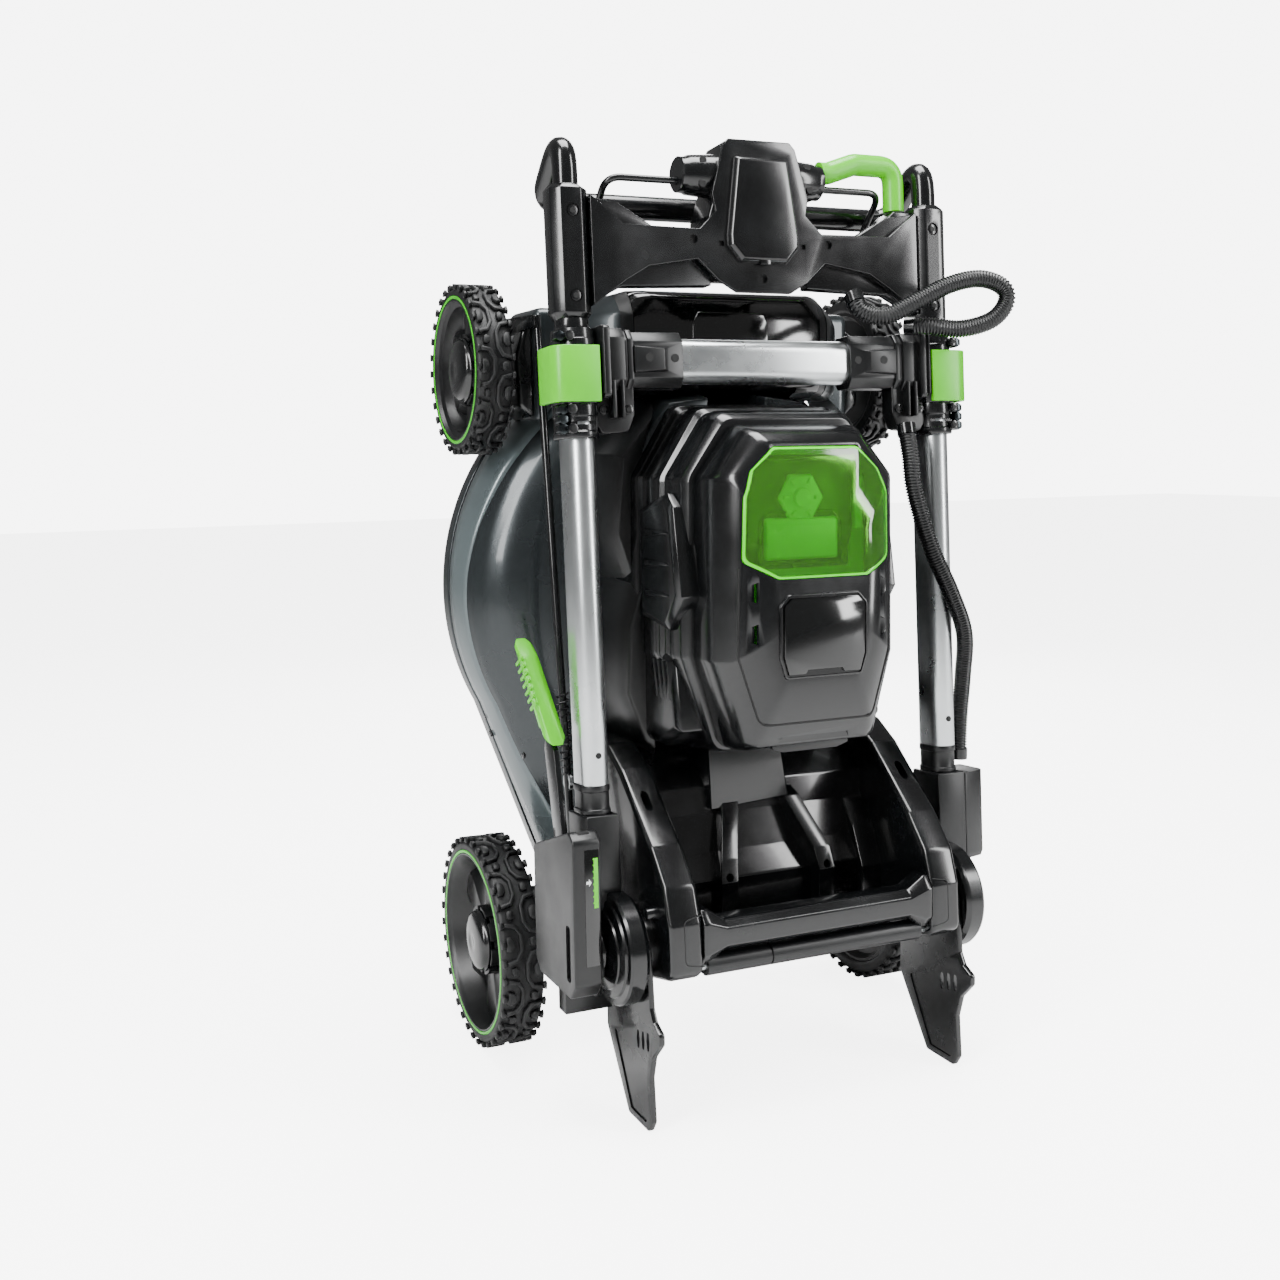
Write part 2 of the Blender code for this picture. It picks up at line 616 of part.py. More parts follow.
def build_rear_door(stand):
    """The discharge door, which turns on a rod below the grab bar."""
    piece("door_rod", rod("X", (DOOR_ROD_Y, DOOR_ROD_Z), DOOR_ROD_R, -0.149, 0.149, 12),
          "black_steel", stand)
    hinge = (0.0, DOOR_ROD_Y, DOOR_ROD_Z)
    low = DOOR_ROD_Z - DOOR_KNUCKLE_R
    door = piece("rear_door", rod("X", (DOOR_ROD_Y, DOOR_ROD_Z), DOOR_KNUCKLE_R, -DOOR_HALF, DOOR_HALF, 16),
                 "black_plastic", stand, origin=hinge)
    shape(door, "UNION", box((-DOOR_HALF, DOOR_HALF), (DOOR_ROD_Y, DOOR_EDGE_Y), (low, low + DOOR_THICK)))
    shape(door, "DIFFERENCE",
          rod("X", (DOOR_ROD_Y, DOOR_ROD_Z), DOOR_ROD_R + RUN, -0.3, 0.3, 12))


# ---------------------------------------------------------------- wheels and axles

def build_axle(stand, name, y, wheel_z, wheel_w, arm_to=None):
    """A crank axle: cross tube on the pivot, crank plates, and a stub for each wheel."""
    pivot = wheel_z + CRANK
    axle = piece(name, rod("X", (y, pivot), CRANK_TUBE_R, -CRANK_X - 0.003, CRANK_X + 0.003, 16),
                 "black_steel", stand, origin=(0, y, pivot))
    plate = [(y - 0.011, wheel_z - 0.008), (y, wheel_z - 0.012), (y + 0.011, wheel_z - 0.008),
             (y + 0.012, pivot + 0.007), (y, pivot + 0.012), (y - 0.012, pivot + 0.007)]
    for side in (False, True):
        shape(axle, "UNION", prism("X", plate, CRANK_X, CRANK_X + CRANK_PLATE),
              rod("X", (y, wheel_z), STUB_R, CRANK_X + 0.001, WHEEL_INNER_X + wheel_w - 0.014, 16),
              mirrored=side)
    if arm_to is not None:
        end_y, end_z = arm_to
        arm = [(y, pivot - 0.009), (y, pivot + 0.009), (end_y - 0.006, end_z + 0.006),
               (end_y - 0.006, end_z - 0.006)]
        inner = ROD_X + ROD_R + GAP
        shape(axle, "UNION", prism("X", arm, inner, inner + 0.004), mirrored=True)
    return axle


def build_wheel(stand, name, radius, width, y, z, mirrored):
    """A wheel of three pieces: tyre, rim and hubcap."""
    bead = radius - TYRE_DEPTH
    low, high = WHEEL_INNER_X, WHEEL_INNER_X + width
    centre = (y, z)
    origin = (-low if mirrored else low, y, z)
    section = [(bead, low + 0.002), (radius - 0.004, low), (radius, low + 0.006),
               (radius, high - 0.006), (radius - 0.004, high), (bead, high - 0.002)]
    piece(f"tyre_{name}", turned(centre, section, 32), "rubber", stand, origin, mirrored)
    barrel, inner = bead - GAP, bead - 0.0035
    web, hub_top = low + 0.4 * width, high - 0.013
    section = [(STUB_R + GAP, low + 0.001), (HUB_R, low + 0.001), (HUB_R, web), (inner, web),
               (inner, low + 0.003), (barrel, low + 0.003), (barrel, high - 0.003), (inner, high - 0.003),
               (inner, web + 0.005), (HUB_R, web + 0.005), (HUB_R, hub_top), (STUB_R + GAP, hub_top)]
    piece(f"rim_{name}", turned(centre, section, 16), "black_plastic", stand, origin, mirrored)
    cap = hub_top + GAP
    cap_bm = loft([[(x, b, c) for b, c in circle(centre, r, 16)] for x, r in
                   ((cap, HUBCAP_R - 0.004), (cap + 0.003, HUBCAP_R), (high - 0.004, HUBCAP_R - 0.002),
                    (high - 0.001, 0.016))])
    piece(f"hubcap_{name}", cap_bm, "black_plastic", stand, origin, mirrored)


def build_running_gear(stand):
    """Both crank axles, the drive unit and the four wheels."""
    build_axle(stand, "rear_axle", 0.0, REAR_AXLE_Z, REAR_WHEEL_W)
    build_axle(stand, "front_axle", FRONT_AXLE_Y, FRONT_AXLE_Z, FRONT_WHEEL_W, ROD_HIGH)
    pivot = REAR_AXLE_Z + CRANK
    bore = CRANK_TUBE_R + GAP
    section = [(bore, -0.055), (0.018, -0.055), (0.026, -0.040), (0.026, 0.040), (0.018, 0.055), (bore, 0.055)]
    piece("drive_unit", turned((0.0, pivot), section, 16), "black_plastic", stand, origin=(0, 0, pivot))
    for side, mirrored in (("left", True), ("right", False)):
        build_wheel(stand, f"rear_{side}", REAR_TYRE_R, REAR_WHEEL_W, 0.0, REAR_AXLE_Z, mirrored)
        build_wheel(stand, f"front_{side}", FRONT_TYRE_R, FRONT_WHEEL_W, FRONT_AXLE_Y, FRONT_AXLE_Z, mirrored)


# ---------------------------------------------------------------- height adjuster

def build_height_adjuster(stand):
    """The lever and its housing on the left, the link to the front axle and its spring."""
    pivot = (PIVOT_Y, PIVOT_Z)
    low, high = LEVER_X - 0.0105, LEVER_X + 0.017
    outline = [(-0.268, 0.150), (-0.255, 0.134), (-0.172, 0.134), (-0.160, 0.146), (-0.160, 0.262),
               (-0.257, 0.296), (-0.268, 0.288)]
    housing = piece("lever_housing", prism("X", outline, low, high), "black_plastic", stand, mirrored=True)
    shape(housing, "UNION", box((LEG_INNER_X + LEG_THICK + GAP, LEVER_X), (-0.196, -0.176), (0.095, 0.136)),
          mirrored=True)
    slot = (LEVER_X - 0.0025, LEVER_X + LEVER_THICK + 0.0025)
    opening = [(-0.261, 0.150), (-0.215, 0.150), (-0.190, 0.125), (-0.10, 0.125), (-0.10, 0.320),
               (-0.261, 0.320)]
    shape(housing, "DIFFERENCE", prism("X", opening, *slot), mirrored=True)
    shape(housing, "UNION", rod("X", pivot, LEVER_PIN_R, slot[0] - 0.002, slot[1] + 0.002, 16), mirrored=True)
    arm = [(-0.249, 0.160), (-0.239, 0.157), (-0.228, 0.160), (-0.205, 0.163), (-0.137, 0.163),
           (-0.130, 0.172), (-0.137, 0.181), (-0.198, 0.205), (-0.188, 0.280), (-0.168, 0.358),
           (-0.172, 0.372), (-0.194, 0.360), (-0.212, 0.280), (-0.252, 0.190)]
    origin = (-LEVER_X, PIVOT_Y, PIVOT_Z)
    lever = piece("height_lever", prism("X", arm, LEVER_X, LEVER_X + LEVER_THICK), "black_steel", stand,
                  origin, mirrored=True)
    shape(lever, "UNION", rod("X", ROD_LOW, 0.004, ROD_X + ROD_R + GAP, LEVER_X + 0.001, 12), mirrored=True)
    shape(lever, "DIFFERENCE", rod("X", pivot, LEVER_PIN_R + RUN, 0.2, 0.26, 16), mirrored=True)
    grip = []
    for t, half_x in ((0.0, 0.0085), (0.04, 0.0105), (0.95, 0.0095), (1.0, 0.0075)):
        y, z, x = -0.186 + 0.050 * t, 0.3735 + 0.080 * t, LEVER_X + 0.003 + 0.009 * t
        ring = [(-1, -0.6), (-0.6, -1), (0.6, -1), (1, -0.6), (1, 0.6), (0.6, 1), (-0.6, 1), (-1, 0.6)]
        grip.append([(x + a * half_x, y + b * 0.0125, z + b * 0.0078) for a, b in ring])
    piece("height_grip", loft(grip), "lime", stand, origin, mirrored=True)

    def along(z):
        t = (z - ROD_LOW[1]) / (ROD_HIGH[1] - ROD_LOW[1])
        return (-ROD_X, ROD_LOW[0] + t * (ROD_HIGH[0] - ROD_LOW[0]), z)
    rod_origin = along(ROD_LOW[1])
    pipe("link_rod", [along(ROD_LOW[1] - 0.006), along(ROD_HIGH[1] + 0.006)], ROD_R, "black_steel", stand,
         rod_origin)
    start, end = Vector(along(SPRING_LOW)), Vector(along(SPRING_HIGH))
    axis = (end - start).normalized()
    side = Vector((1, 0, 0))
    other = axis.cross(side)
    turns = []
    for i in range(SPRING_TURNS * 8 + 1):
        a = 2 * pi * i / 8
        centre = start.lerp(end, i / (SPRING_TURNS * 8))
        turns.append(centre + (side * cos(a) + other * sin(a)) * SPRING_MEAN_R)
    pipe("height_spring", turns, SPRING_WIRE_R, "steel", stand, rod_origin, resolution=0)


# ---------------------------------------------------------------- lower handle

def build_brackets(handle):
    """Each side's pivot disc and the channel bracket that the tube stands in."""
    for name, side in (("left", True), ("right", False)):
        inner, outer = DISC_INNER_X, DISC_OUTER_X
        rings = [[(x, a, b) for a, b in circle((0, 0), r)] for x, r in
                 ((inner, DISC_R - 0.004), (inner + 0.006, DISC_R), (inner + 0.021, DISC_R - 0.002),
                  (outer - 0.004, DISC_R - 0.020), (outer, 0.014))]
        disc = piece(f"pivot_disc_{name}", loft(rings), "black_plastic", handle, mirrored=side)
        front, back = -0.0015, 0.0465
        foot = 0.028
        shape(disc, "DIFFERENCE", box((BRACKET_INNER_X - GAP, BRACKET_OUTER_X + 0.01), (front - GAP, back + GAP),
                                      (foot - GAP, 0.2)), mirrored=side)
        bracket = piece(f"bracket_{name}", box((BRACKET_INNER_X, BRACKET_OUTER_X), (front, back),
                                               (foot, BRACKET_TOP)), "black_steel", handle, mirrored=side)
        centre = (TUBE_X, TUBE_Y)
        width, depth = OVAL_W - 2 * OVAL_WALL, OVAL_D - 2 * OVAL_WALL
        shape(bracket, "DIFFERENCE", box((BRACKET_INNER_X + 0.0035, BRACKET_OUTER_X - 0.0035), (0.004, 0.1),
                                         (foot - 0.1, 0.3)), mirrored=side)
        shape(bracket, "UNION",
              prism("Z", oval(centre, OVAL_W, OVAL_D - 0.004, 0.0008), 0.064, LOWER_TUBE_LOW - GAP),
              prism("Z", oval(centre, width, depth, -GAP), 0.10, LOWER_TUBE_LOW + 0.020), mirrored=side)
        if name == "right":
            boot = [(0.2155, -0.0015), (0.243, 0.006), (0.247, 0.014), (0.247, 0.050), (0.2155, 0.0465)]
            shape(bracket, "UNION", prism("Z", boot, 0.034, BRACKET_TOP - 0.002))


def build_lower_tubes(handle):
    """The two oval tubes of the lower handle and the crossbar between their clamps."""
    for name, side in (("left", True), ("right", False)):
        tube = piece(f"lower_tube_{name}", prism("Z", oval((TUBE_X, TUBE_Y), OVAL_W, OVAL_D),
                                                 LOWER_TUBE_LOW, LOWER_TUBE_HIGH),
                     "aluminium", handle, mirrored=side)
        shape(tube, "DIFFERENCE", prism("Z", oval((TUBE_X, TUBE_Y), OVAL_W, OVAL_D, -OVAL_WALL),
                                        0.0, 1.0), mirrored=side)
    piece("crossbar", prism("X", oval((CROSSBAR_Y, CROSSBAR_Z), OVAL_W, OVAL_D),
                            -CROSSBAR_HALF, CROSSBAR_HALF), "aluminium", handle)


def build_clamps(handle):
    """The clamp on each tube, with its crossbar socket and its green locking lever."""
    for name, side in (("left", True), ("right", False)):
        outline = [(0.1815, 0.002), (0.187, -0.002), (0.213, -0.002), (0.2195, 0.004), (0.2195, 0.044),
                   (0.213, 0.0505), (0.187, 0.0505), (0.1815, 0.046)]
        clamp = piece(f"clamp_{name}", prism("Z", outline, CLAMP_LOW, CLAMP_HIGH), "black_plastic",
                      handle, mirrored=side)
        socket = [(CROSSBAR_Y - 0.0175, CROSSBAR_Z - 0.018), (CROSSBAR_Y - 0.012, CROSSBAR_Z - 0.0265),
                  (CROSSBAR_Y + 0.012, CROSSBAR_Z - 0.0265), (CROSSBAR_Y + 0.0175, CROSSBAR_Z - 0.018),
                  (CROSSBAR_Y + 0.0175, CROSSBAR_Z + 0.018), (CROSSBAR_Y + 0.012, CROSSBAR_Z + 0.0265),
                  (CROSSBAR_Y - 0.012, CROSSBAR_Z + 0.0265), (CROSSBAR_Y - 0.0175, CROSSBAR_Z + 0.018)]
        gusset = [(0.130, 0.5345), (0.186, 0.5345), (0.186, 0.492), (0.160, 0.500)]
        shape(clamp, "UNION", prism("X", socket, SOCKET_END_X, 0.1825),
              prism("Y", gusset, 0.003, 0.030), mirrored=side)
        shape(clamp, "DIFFERENCE",
              prism("X", oval((CROSSBAR_Y, CROSSBAR_Z), OVAL_W, OVAL_D, GAP), 0.05, CROSSBAR_HALF + GAP),
              prism("Z", oval((TUBE_X, TUBE_Y), OVAL_W, OVAL_D, GAP), 0.3, LOWER_TUBE_HIGH + GAP),
              rod("Z", (TUBE_X, TUBE_Y), GRIP_TUBE_R + RUN, 0.3, 0.8), mirrored=side)
        outer = 0.2195 + GAP
        hinge = (0.2255, 0.034, (CLAMP_LEVER_LOW + CLAMP_LEVER_HIGH) / 2)
        hook = [(0.1845, -0.0080), (0.226, -0.0080), (0.231, -0.003), (0.231, 0.036), (0.2285, 0.0395),
                (0.2245, 0.0395), (outer, 0.0345), (outer, 0.0035), (0.2135, -0.0023 - GAP),
                (0.1845, -0.0023 - GAP)]
        origin = (-hinge[0] if side else hinge[0], hinge[1], hinge[2])
        piece(f"clamp_lever_{name}", prism("Z", hook, CLAMP_LEVER_LOW, CLAMP_LEVER_HIGH), "lime",
              handle, origin, mirrored=side)


# ---------------------------------------------------------------- upper handle

def build_upper_frame(handle):
    """The grip tube with its two legs, and the moulded housing on each leg."""
    leg_low = 0.186
    corners = [(-TUBE_X, TUBE_Y, leg_low), (-TUBE_X, TUBE_Y, GRIP_APEX_Z + 0.016),
               (-TUBE_X, GRIP_BEND_Y, GRIP_BEND_Z), (TUBE_X, GRIP_BEND_Y, GRIP_BEND_Z),
               (TUBE_X, TUBE_Y, GRIP_APEX_Z + 0.016), (TUBE_X, TUBE_Y, leg_low)]
    pipe("grip_tube", filleted(corners, 0.0235), GRIP_TUBE_R, "black_steel", handle)
    for name, side in (("left", True), ("right", False)):
        outline = [(HOUSING_INNER_X, 0.012), (0.186, 0.008), (0.212, 0.008), (HOUSING_OUTER_X, 0.015),
                   (HOUSING_OUTER_X, 0.036), (0.214, 0.0425), (HOUSING_INNER_X, 0.0425)]
        housing = piece(f"tube_housing_{name}", prism("Z", outline, HOUSING_LOW, HOUSING_HIGH),
                        "black_plastic", handle, mirrored=side)
        shape(housing, "DIFFERENCE", rod("Z", (TUBE_X, TUBE_Y), GRIP_TUBE_R + GAP, 0.5, 0.8), mirrored=side)


def build_crossbeam(handle):
    """The beam between the housings, whose middle carries the control console."""
    side = HOUSING_INNER_X - GAP
    beam_half = [(0.038, 0.6295), (0.052, 0.647), (0.071, 0.6615), (0.135, 0.646), (0.148, 0.633),
                 (side, 0.606), (side, 0.715), (0.150, 0.715), (0.113, 0.689), (0.068, 0.689),
                 (0.054, 0.711), (0.032, 0.7745)]
    beam = piece("crossbeam", prism("Y", mirrored_outline(beam_half), BEAM_FRONT, BEAM_BACK),
                 "black_plastic", handle)
    panel = [(0.020, 0.666), (0.033, 0.686), (0.033, 0.700), (0.024, 0.765)]
    shape(beam, "UNION", prism("Y", mirrored_outline(panel), BEAM_FRONT - 0.007, BEAM_FRONT + 0.001))
    socket = [(0.158, 0.700), (0.1815 - GAP, 0.700), (0.1815 - GAP, 0.7155), (0.158, 0.7155)]
    shape(beam, "UNION", prism("Y", socket, 0.020, 0.050))
    shape(beam, "DIFFERENCE", box((-CONSOLE_HALF - GAP, CONSOLE_HALF + GAP), (CONSOLE_SPLIT, 0.1), (0.6, 0.8)))
    top = [(0.044, 0.640), (CONSOLE_HALF, 0.655), (CONSOLE_HALF, 0.700), (0.046, 0.728), (0.034, 0.774)]
    console = piece("console", prism("Y", mirrored_outline(top), CONSOLE_SPLIT + GAP, CONSOLE_BACK),
                    "black_plastic", handle)
    for mirrored in (False, True):
        shape(console, "UNION", rod("X", (BOSS_Y, BOSS_Z), BOSS_R, 0.030, BOSS_END_X, 16), mirrored=mirrored)
    shape(console, "DIFFERENCE",
          rod("X", (BOSS_Y, BAIL_Z), BAIL_R * BAIL_PIN + RUN, 0.068, 0.10, 12),
          rod("X", (BOSS_Y, WIRE_Z), WIRE_R + RUN, 0.066, 0.10, 12),
          rod("X", (BOSS_Y, WIRE_Z), WIRE_R + RUN, -0.10, -0.066, 12),
          box((-0.0071, 0.0071), (0.046, 0.1), (0.6825, 0.6975)),
          rod("Y", (0.0, 0.742), 0.0095, 0.048, 0.1, 16))


def build_controls(handle):
    """Safety key, start button, speed dial and the two bails on the console."""
    back = CONSOLE_BACK
    button = (0.0, 0.742)
    piece("start_button", rod("Y", button, 0.009, back - 0.007, back + 0.004, 16), "lime", handle,
          origin=(0, back, button[1]))
    piece("safety_key", box((-0.0065, 0.0065), (back - 0.0135, back + 0.013), (0.6830, 0.6970)), "lime",
          handle, origin=(0, back, 0.690))
    dial = (0.033, 0.690)
    piece("speed_dial", rod("Y", dial, 0.014, back + GAP, back + 0.011, 16), "black_plastic", handle,
          origin=(dial[0], back, dial[1]))
    end, bar = (BOSS_Y, WIRE_Z), (0.090, 0.684)
    corners = [(-0.068, *end), (-0.154, *end), (-0.154, *bar), (0.154, *bar), (0.154, *end), (0.068, *end)]
    pipe("wire_bail", filleted(corners, 0.016), WIRE_R, "black_steel", handle, (0.0, *end), resolution=1)
    corners = [(BOSS_END_X + 0.0008, BOSS_Y, BAIL_Z), (0.090, BOSS_Y, BAIL_Z), (0.122, BOSS_Y, BAIL_Z + 0.011),
               (0.170, BOSS_Y, BAIL_Z + 0.011), (0.170, BOSS_Y, 0.7175)]
    pin = [(0.070, BOSS_Y, BAIL_Z), (BOSS_END_X + GAP, BOSS_Y, BAIL_Z)]
    bail = pipe("drive_bail", pin + filleted(corners, 0.014, 4), BAIL_R, "lime", handle, (0.0, BOSS_Y, BAIL_Z))
    for point in bail.data.splines[0].points[:2]:
        point.radius = BAIL_PIN


def build_conduit(stand):
    """The corrugated cable conduit: a loop up to the console and a run down the right tube."""
    spacing = 2.2 * CONDUIT_R
    pipe("conduit_loop", smooth_route(LOOP_ROUTE, spacing), CONDUIT_R, "black_plastic", stand)
    forward = 0.022 - OVAL_D / 2
    lower = [(x, y + forward, z) for x, y, z in LOWER_ROUTE]
    pipe("conduit_lower", smooth_route(lower, spacing), CONDUIT_R, "black_plastic", stand)


def main():
    """Clears the scene and builds the mower."""
    for obj in list(bpy.data.objects):
        bpy.data.objects.remove(obj, do_unlink=True)
    stand = frame("stand_frame", (0, STAND_Y, 0))
    handle = frame("handle_frame", (0, PIVOT_Y, PIVOT_Z), stand, -HANDLE_LEAN)
    build_deck(stand)
    build_nose(stand)
    build_motor_housing(stand)
    build_battery(stand)
    build_cutting_drive(stand)
    build_rear_housing(stand)
    build_grab_bar(stand)
    build_legs(stand)
    build_rear_door(stand)
    build_running_gear(stand)
    build_height_adjuster(stand)
    build_brackets(handle)
    build_lower_tubes(handle)
    build_clamps(handle)
    build_upper_frame(handle)
    build_crossbeam(handle)
    build_controls(handle)
    build_conduit(stand)


main()
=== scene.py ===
"""Looks of a cordless walk-behind lawn mower that stands folded on its rear wheels and legs.

Sizes are in metres. The stand frame has the rear axle at Y = 0, +Z towards the mower's front,
-Y towards its top and +X to its right. The handle frame turns with the folded handle, and its Z
runs along the handle tubes.
"""
import json
import logging
from collections.abc import Callable, Iterable, Sequence
from dataclasses import dataclass, replace
from enum import Enum
from math import atan2, cos, pi, radians, sin

import bmesh
import bpy
from bmesh.types import BMesh, BMFace
from mathutils import Matrix, Vector


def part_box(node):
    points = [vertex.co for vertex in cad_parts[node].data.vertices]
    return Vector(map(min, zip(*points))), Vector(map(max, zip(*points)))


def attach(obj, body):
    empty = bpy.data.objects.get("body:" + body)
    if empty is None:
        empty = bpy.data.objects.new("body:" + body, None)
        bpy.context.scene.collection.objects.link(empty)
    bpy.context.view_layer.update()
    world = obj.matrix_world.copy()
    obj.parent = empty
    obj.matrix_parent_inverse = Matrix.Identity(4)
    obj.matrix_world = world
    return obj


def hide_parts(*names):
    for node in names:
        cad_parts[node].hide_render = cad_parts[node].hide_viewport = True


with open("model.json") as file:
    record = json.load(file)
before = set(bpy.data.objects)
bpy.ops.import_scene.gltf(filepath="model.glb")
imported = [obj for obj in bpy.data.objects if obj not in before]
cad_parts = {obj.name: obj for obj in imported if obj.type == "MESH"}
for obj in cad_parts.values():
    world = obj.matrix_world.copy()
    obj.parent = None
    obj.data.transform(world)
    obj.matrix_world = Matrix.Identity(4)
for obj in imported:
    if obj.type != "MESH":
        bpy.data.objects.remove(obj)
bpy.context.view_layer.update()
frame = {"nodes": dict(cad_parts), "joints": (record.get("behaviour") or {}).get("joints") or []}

LOG = logging.getLogger("mower")
Point = tuple[float, float]
Span = tuple[float, float]
MM = 0.001
TOUCH = 0.0003            # gap between pieces that meet
JOINTS = {joint["name"]: joint for joint in frame["joints"]}


def middle(node: str) -> Vector:
    """The middle of a CAD node's box."""
    low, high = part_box(node)
    return (low + high) / 2


STAND_Y = middle("tyre_rear_right").y
PIVOT = Vector(JOINTS["handle_fold"]["pos_m"])
LEAN = atan2(JOINTS["handle_telescope"]["axis"][1], JOINTS["handle_telescope"]["axis"][2])


class Space(Enum):
    """The frames that shapes are drawn in."""

    STAND = Matrix.Translation((0.0, STAND_Y, 0.0))
    HANDLE = Matrix.Translation(PIVOT) @ Matrix.Rotation(-LEAN, 4, "X")


class Side(Enum):
    """The two sides of the mower, with the sign of their X."""

    LEFT = -1
    RIGHT = 1

    @property
    def word(self) -> str:
        """The side's name in a piece's name."""
        return self.name.lower()


class Texture(Enum):
    """How a surface was made, which gives its fine relief."""

    SPARKED = "mould face eaten by sparks"
    POLISHED = "polished mould face"
    PEEL = "powder coat that flowed in the oven"
    DRAWN = "lines along a drawn and anodised tube"
    GROUND = "lines across a ground blade"
    CURED = "rubber cured in a sand-blasted mould"


# ---------------------------------------------------------------- finishes

def linear(code: str) -> tuple[float, float, float, float]:
    """Turns an sRGB hex value to a linear colour.

    Args:
        code: Six hex digits after a hash.

    Returns:
        Red, green, blue and alpha.
    """
    shares = [int(code[i:i + 2], 16) / 255 for i in (1, 3, 5)]
    return (*[s / 12.92 if s <= 0.04045 else ((s + 0.055) / 1.055) ** 2.4 for s in shares], 1.0)


def add_node(tree: bpy.types.NodeTree, kind: str, inputs: dict | None = None, **settings) -> bpy.types.Node:
    """Adds a node with its settings, and its inputs set or linked.

    Args:
        tree: The node tree.
        kind: The node's Blender type.
        inputs: A value or an output socket for each input's name or number.
        **settings: The node's own properties.

    Returns:
        The new node.
    """
    node = tree.nodes.new(kind)
    for name, value in settings.items():
        setattr(node, name, value)
    for name, value in (inputs or {}).items():
        if isinstance(value, bpy.types.NodeSocket):
            tree.links.new(value, node.inputs[name])
        else:
            node.inputs[name].default_value = value
    return node


@dataclass(frozen=True)
class Finish:
    """One material of the mower, from what the real one is made of and how.

    The tone drifts to a second tone in random soft patches and, where set, along convex edges as a painted
    highlight.
    """

    name: str
    slot: str
    tone: str
    roughness: float
    texture: Texture
    grain_mm: float               # size of the relief's grain
    depth_mm: float               # height of the relief
    # second tone: random drift in soft patches, and a painted highlight along convex edges
    drift_and_highlight_tone: str = "#14181A"
    patch_mm: float = 60.0        # size of the patches in which the tone and gloss drift
    patch_share: float = 0.25
    gloss_drift: float = 0.06
    # share of the painted highlight along convex edges
    edge_highlight: float = 0.0
    metallic: float = 0.0
    ior: float = 1.5
    coat: float = 0.0
    clear: float = 0.0
    along: str = "Z"              # the direction that drawn or ground lines run in

    def stretch(self) -> tuple[float, float, float]:
        """The relief's scale along each axis, in grains to the metre."""
        fine = 1 / (self.grain_mm * MM)
        if self.texture not in (Texture.DRAWN, Texture.GROUND):
            return (fine, fine, fine)
        return tuple(fine / 90 if axis == self.along else fine for axis in "XYZ")

    def material(self) -> bpy.types.Material:
        """The Blender material, made once."""
        made = bpy.data.materials.get(self.name)
        if made is not None:
            return made
        material = bpy.data.materials.new(self.name)
        material.use_nodes = True
        tree = material.node_tree
        shader = tree.nodes["Principled BSDF"]
        place = add_node(tree, "ShaderNodeTexCoord").outputs["Object"]
        patch = add_node(tree, "ShaderNodeTexNoise", {
            "Vector": place, "Scale": 1 / (self.patch_mm * MM), "Detail": 4.0,
            "Roughness": 0.6}).outputs["Fac"]
        share = add_node(tree, "ShaderNodeMapRange", {
            "Value": patch, "From Min": 0.45, "From Max": 0.75, "To Max": self.patch_share}).outputs["Result"]
        # painted highlight: convex edges, found by pointiness, shift towards the second tone
        if self.edge_highlight:
            bend = add_node(tree, "ShaderNodeNewGeometry").outputs["Pointiness"]
            rim = add_node(tree, "ShaderNodeMapRange", {
                "Value": bend, "From Min": 0.53, "From Max": 0.62,
                "To Max": self.edge_highlight}).outputs["Result"]
            share = add_node(tree, "ShaderNodeMath", {0: share, 1: rim}, operation="MAXIMUM").outputs["Value"]
        tone = add_node(tree, "ShaderNodeMix", {
            0: share, 6: linear(self.tone), 7: linear(self.drift_and_highlight_tone)}, data_type="RGBA")
        tree.links.new(tone.outputs[2], shader.inputs["Base Color"])
        gloss = add_node(tree, "ShaderNodeMapRange", {
            "Value": patch, "From Min": 0.3, "From Max": 0.7,
            "To Min": self.roughness - self.gloss_drift, "To Max": self.roughness + self.gloss_drift})
        tree.links.new(gloss.outputs["Result"], shader.inputs["Roughness"])
        scaled = add_node(tree, "ShaderNodeMapping",
                          {"Vector": place, "Scale": self.stretch()}).outputs["Vector"]
        grain = add_node(tree, "ShaderNodeTexNoise", {
            "Vector": scaled, "Scale": 1.0, "Detail": 3.0, "Roughness": 0.55}).outputs["Fac"]
        bump = add_node(tree, "ShaderNodeBump", {"Height": grain, "Distance": self.depth_mm * MM})
        tree.links.new(bump.outputs["Normal"], shader.inputs["Normal"])
        shader.inputs["Metallic"].default_value = self.metallic
        if not self.metallic:
            shader.inputs["IOR"].default_value = self.ior
        shader.inputs["Coat Weight"].default_value = self.coat
        shader.inputs["Coat Roughness"].default_value = 0.08
        shader.inputs["Transmission Weight"].default_value = self.clear
        material.diffuse_color = linear(self.tone)
        return material


# Glass-filled nylon, injection moulded against a spark-eroded steel face: a fine even grain and a
# satin sheen. The real grain is 0.1 mm and is drawn at 0.6 mm so that it shows.
# Its convex edges carry a painted highlight.
NYLON = Finish("moulded_glass_filled_nylon", "black_plastic", "#08090A", 0.36, Texture.SPARKED, 0.6, 0.008,
               edge_highlight=0.3, ior=1.53)
# The same nylon from a smoother mould: broad soft highlights on the big covers.
# It keeps the nylon's painted highlight along convex edges.
SMOOTH_NYLON = replace(NYLON, name="smooth_moulded_nylon", tone="#070809", roughness=0.22, grain_mm=1.2,
                       depth_mm=0.002, coat=0.25)
# ABS from a polished mould: near-mirror gloss with a faint waviness.
GLOSS_ABS = Finish("polished_abs", "gloss_black", "#040505", 0.10, Texture.POLISHED, 14.0, 0.02,
                   drift_and_highlight_tone="#090B0C", gloss_drift=0.02, coat=0.6, ior=1.54)
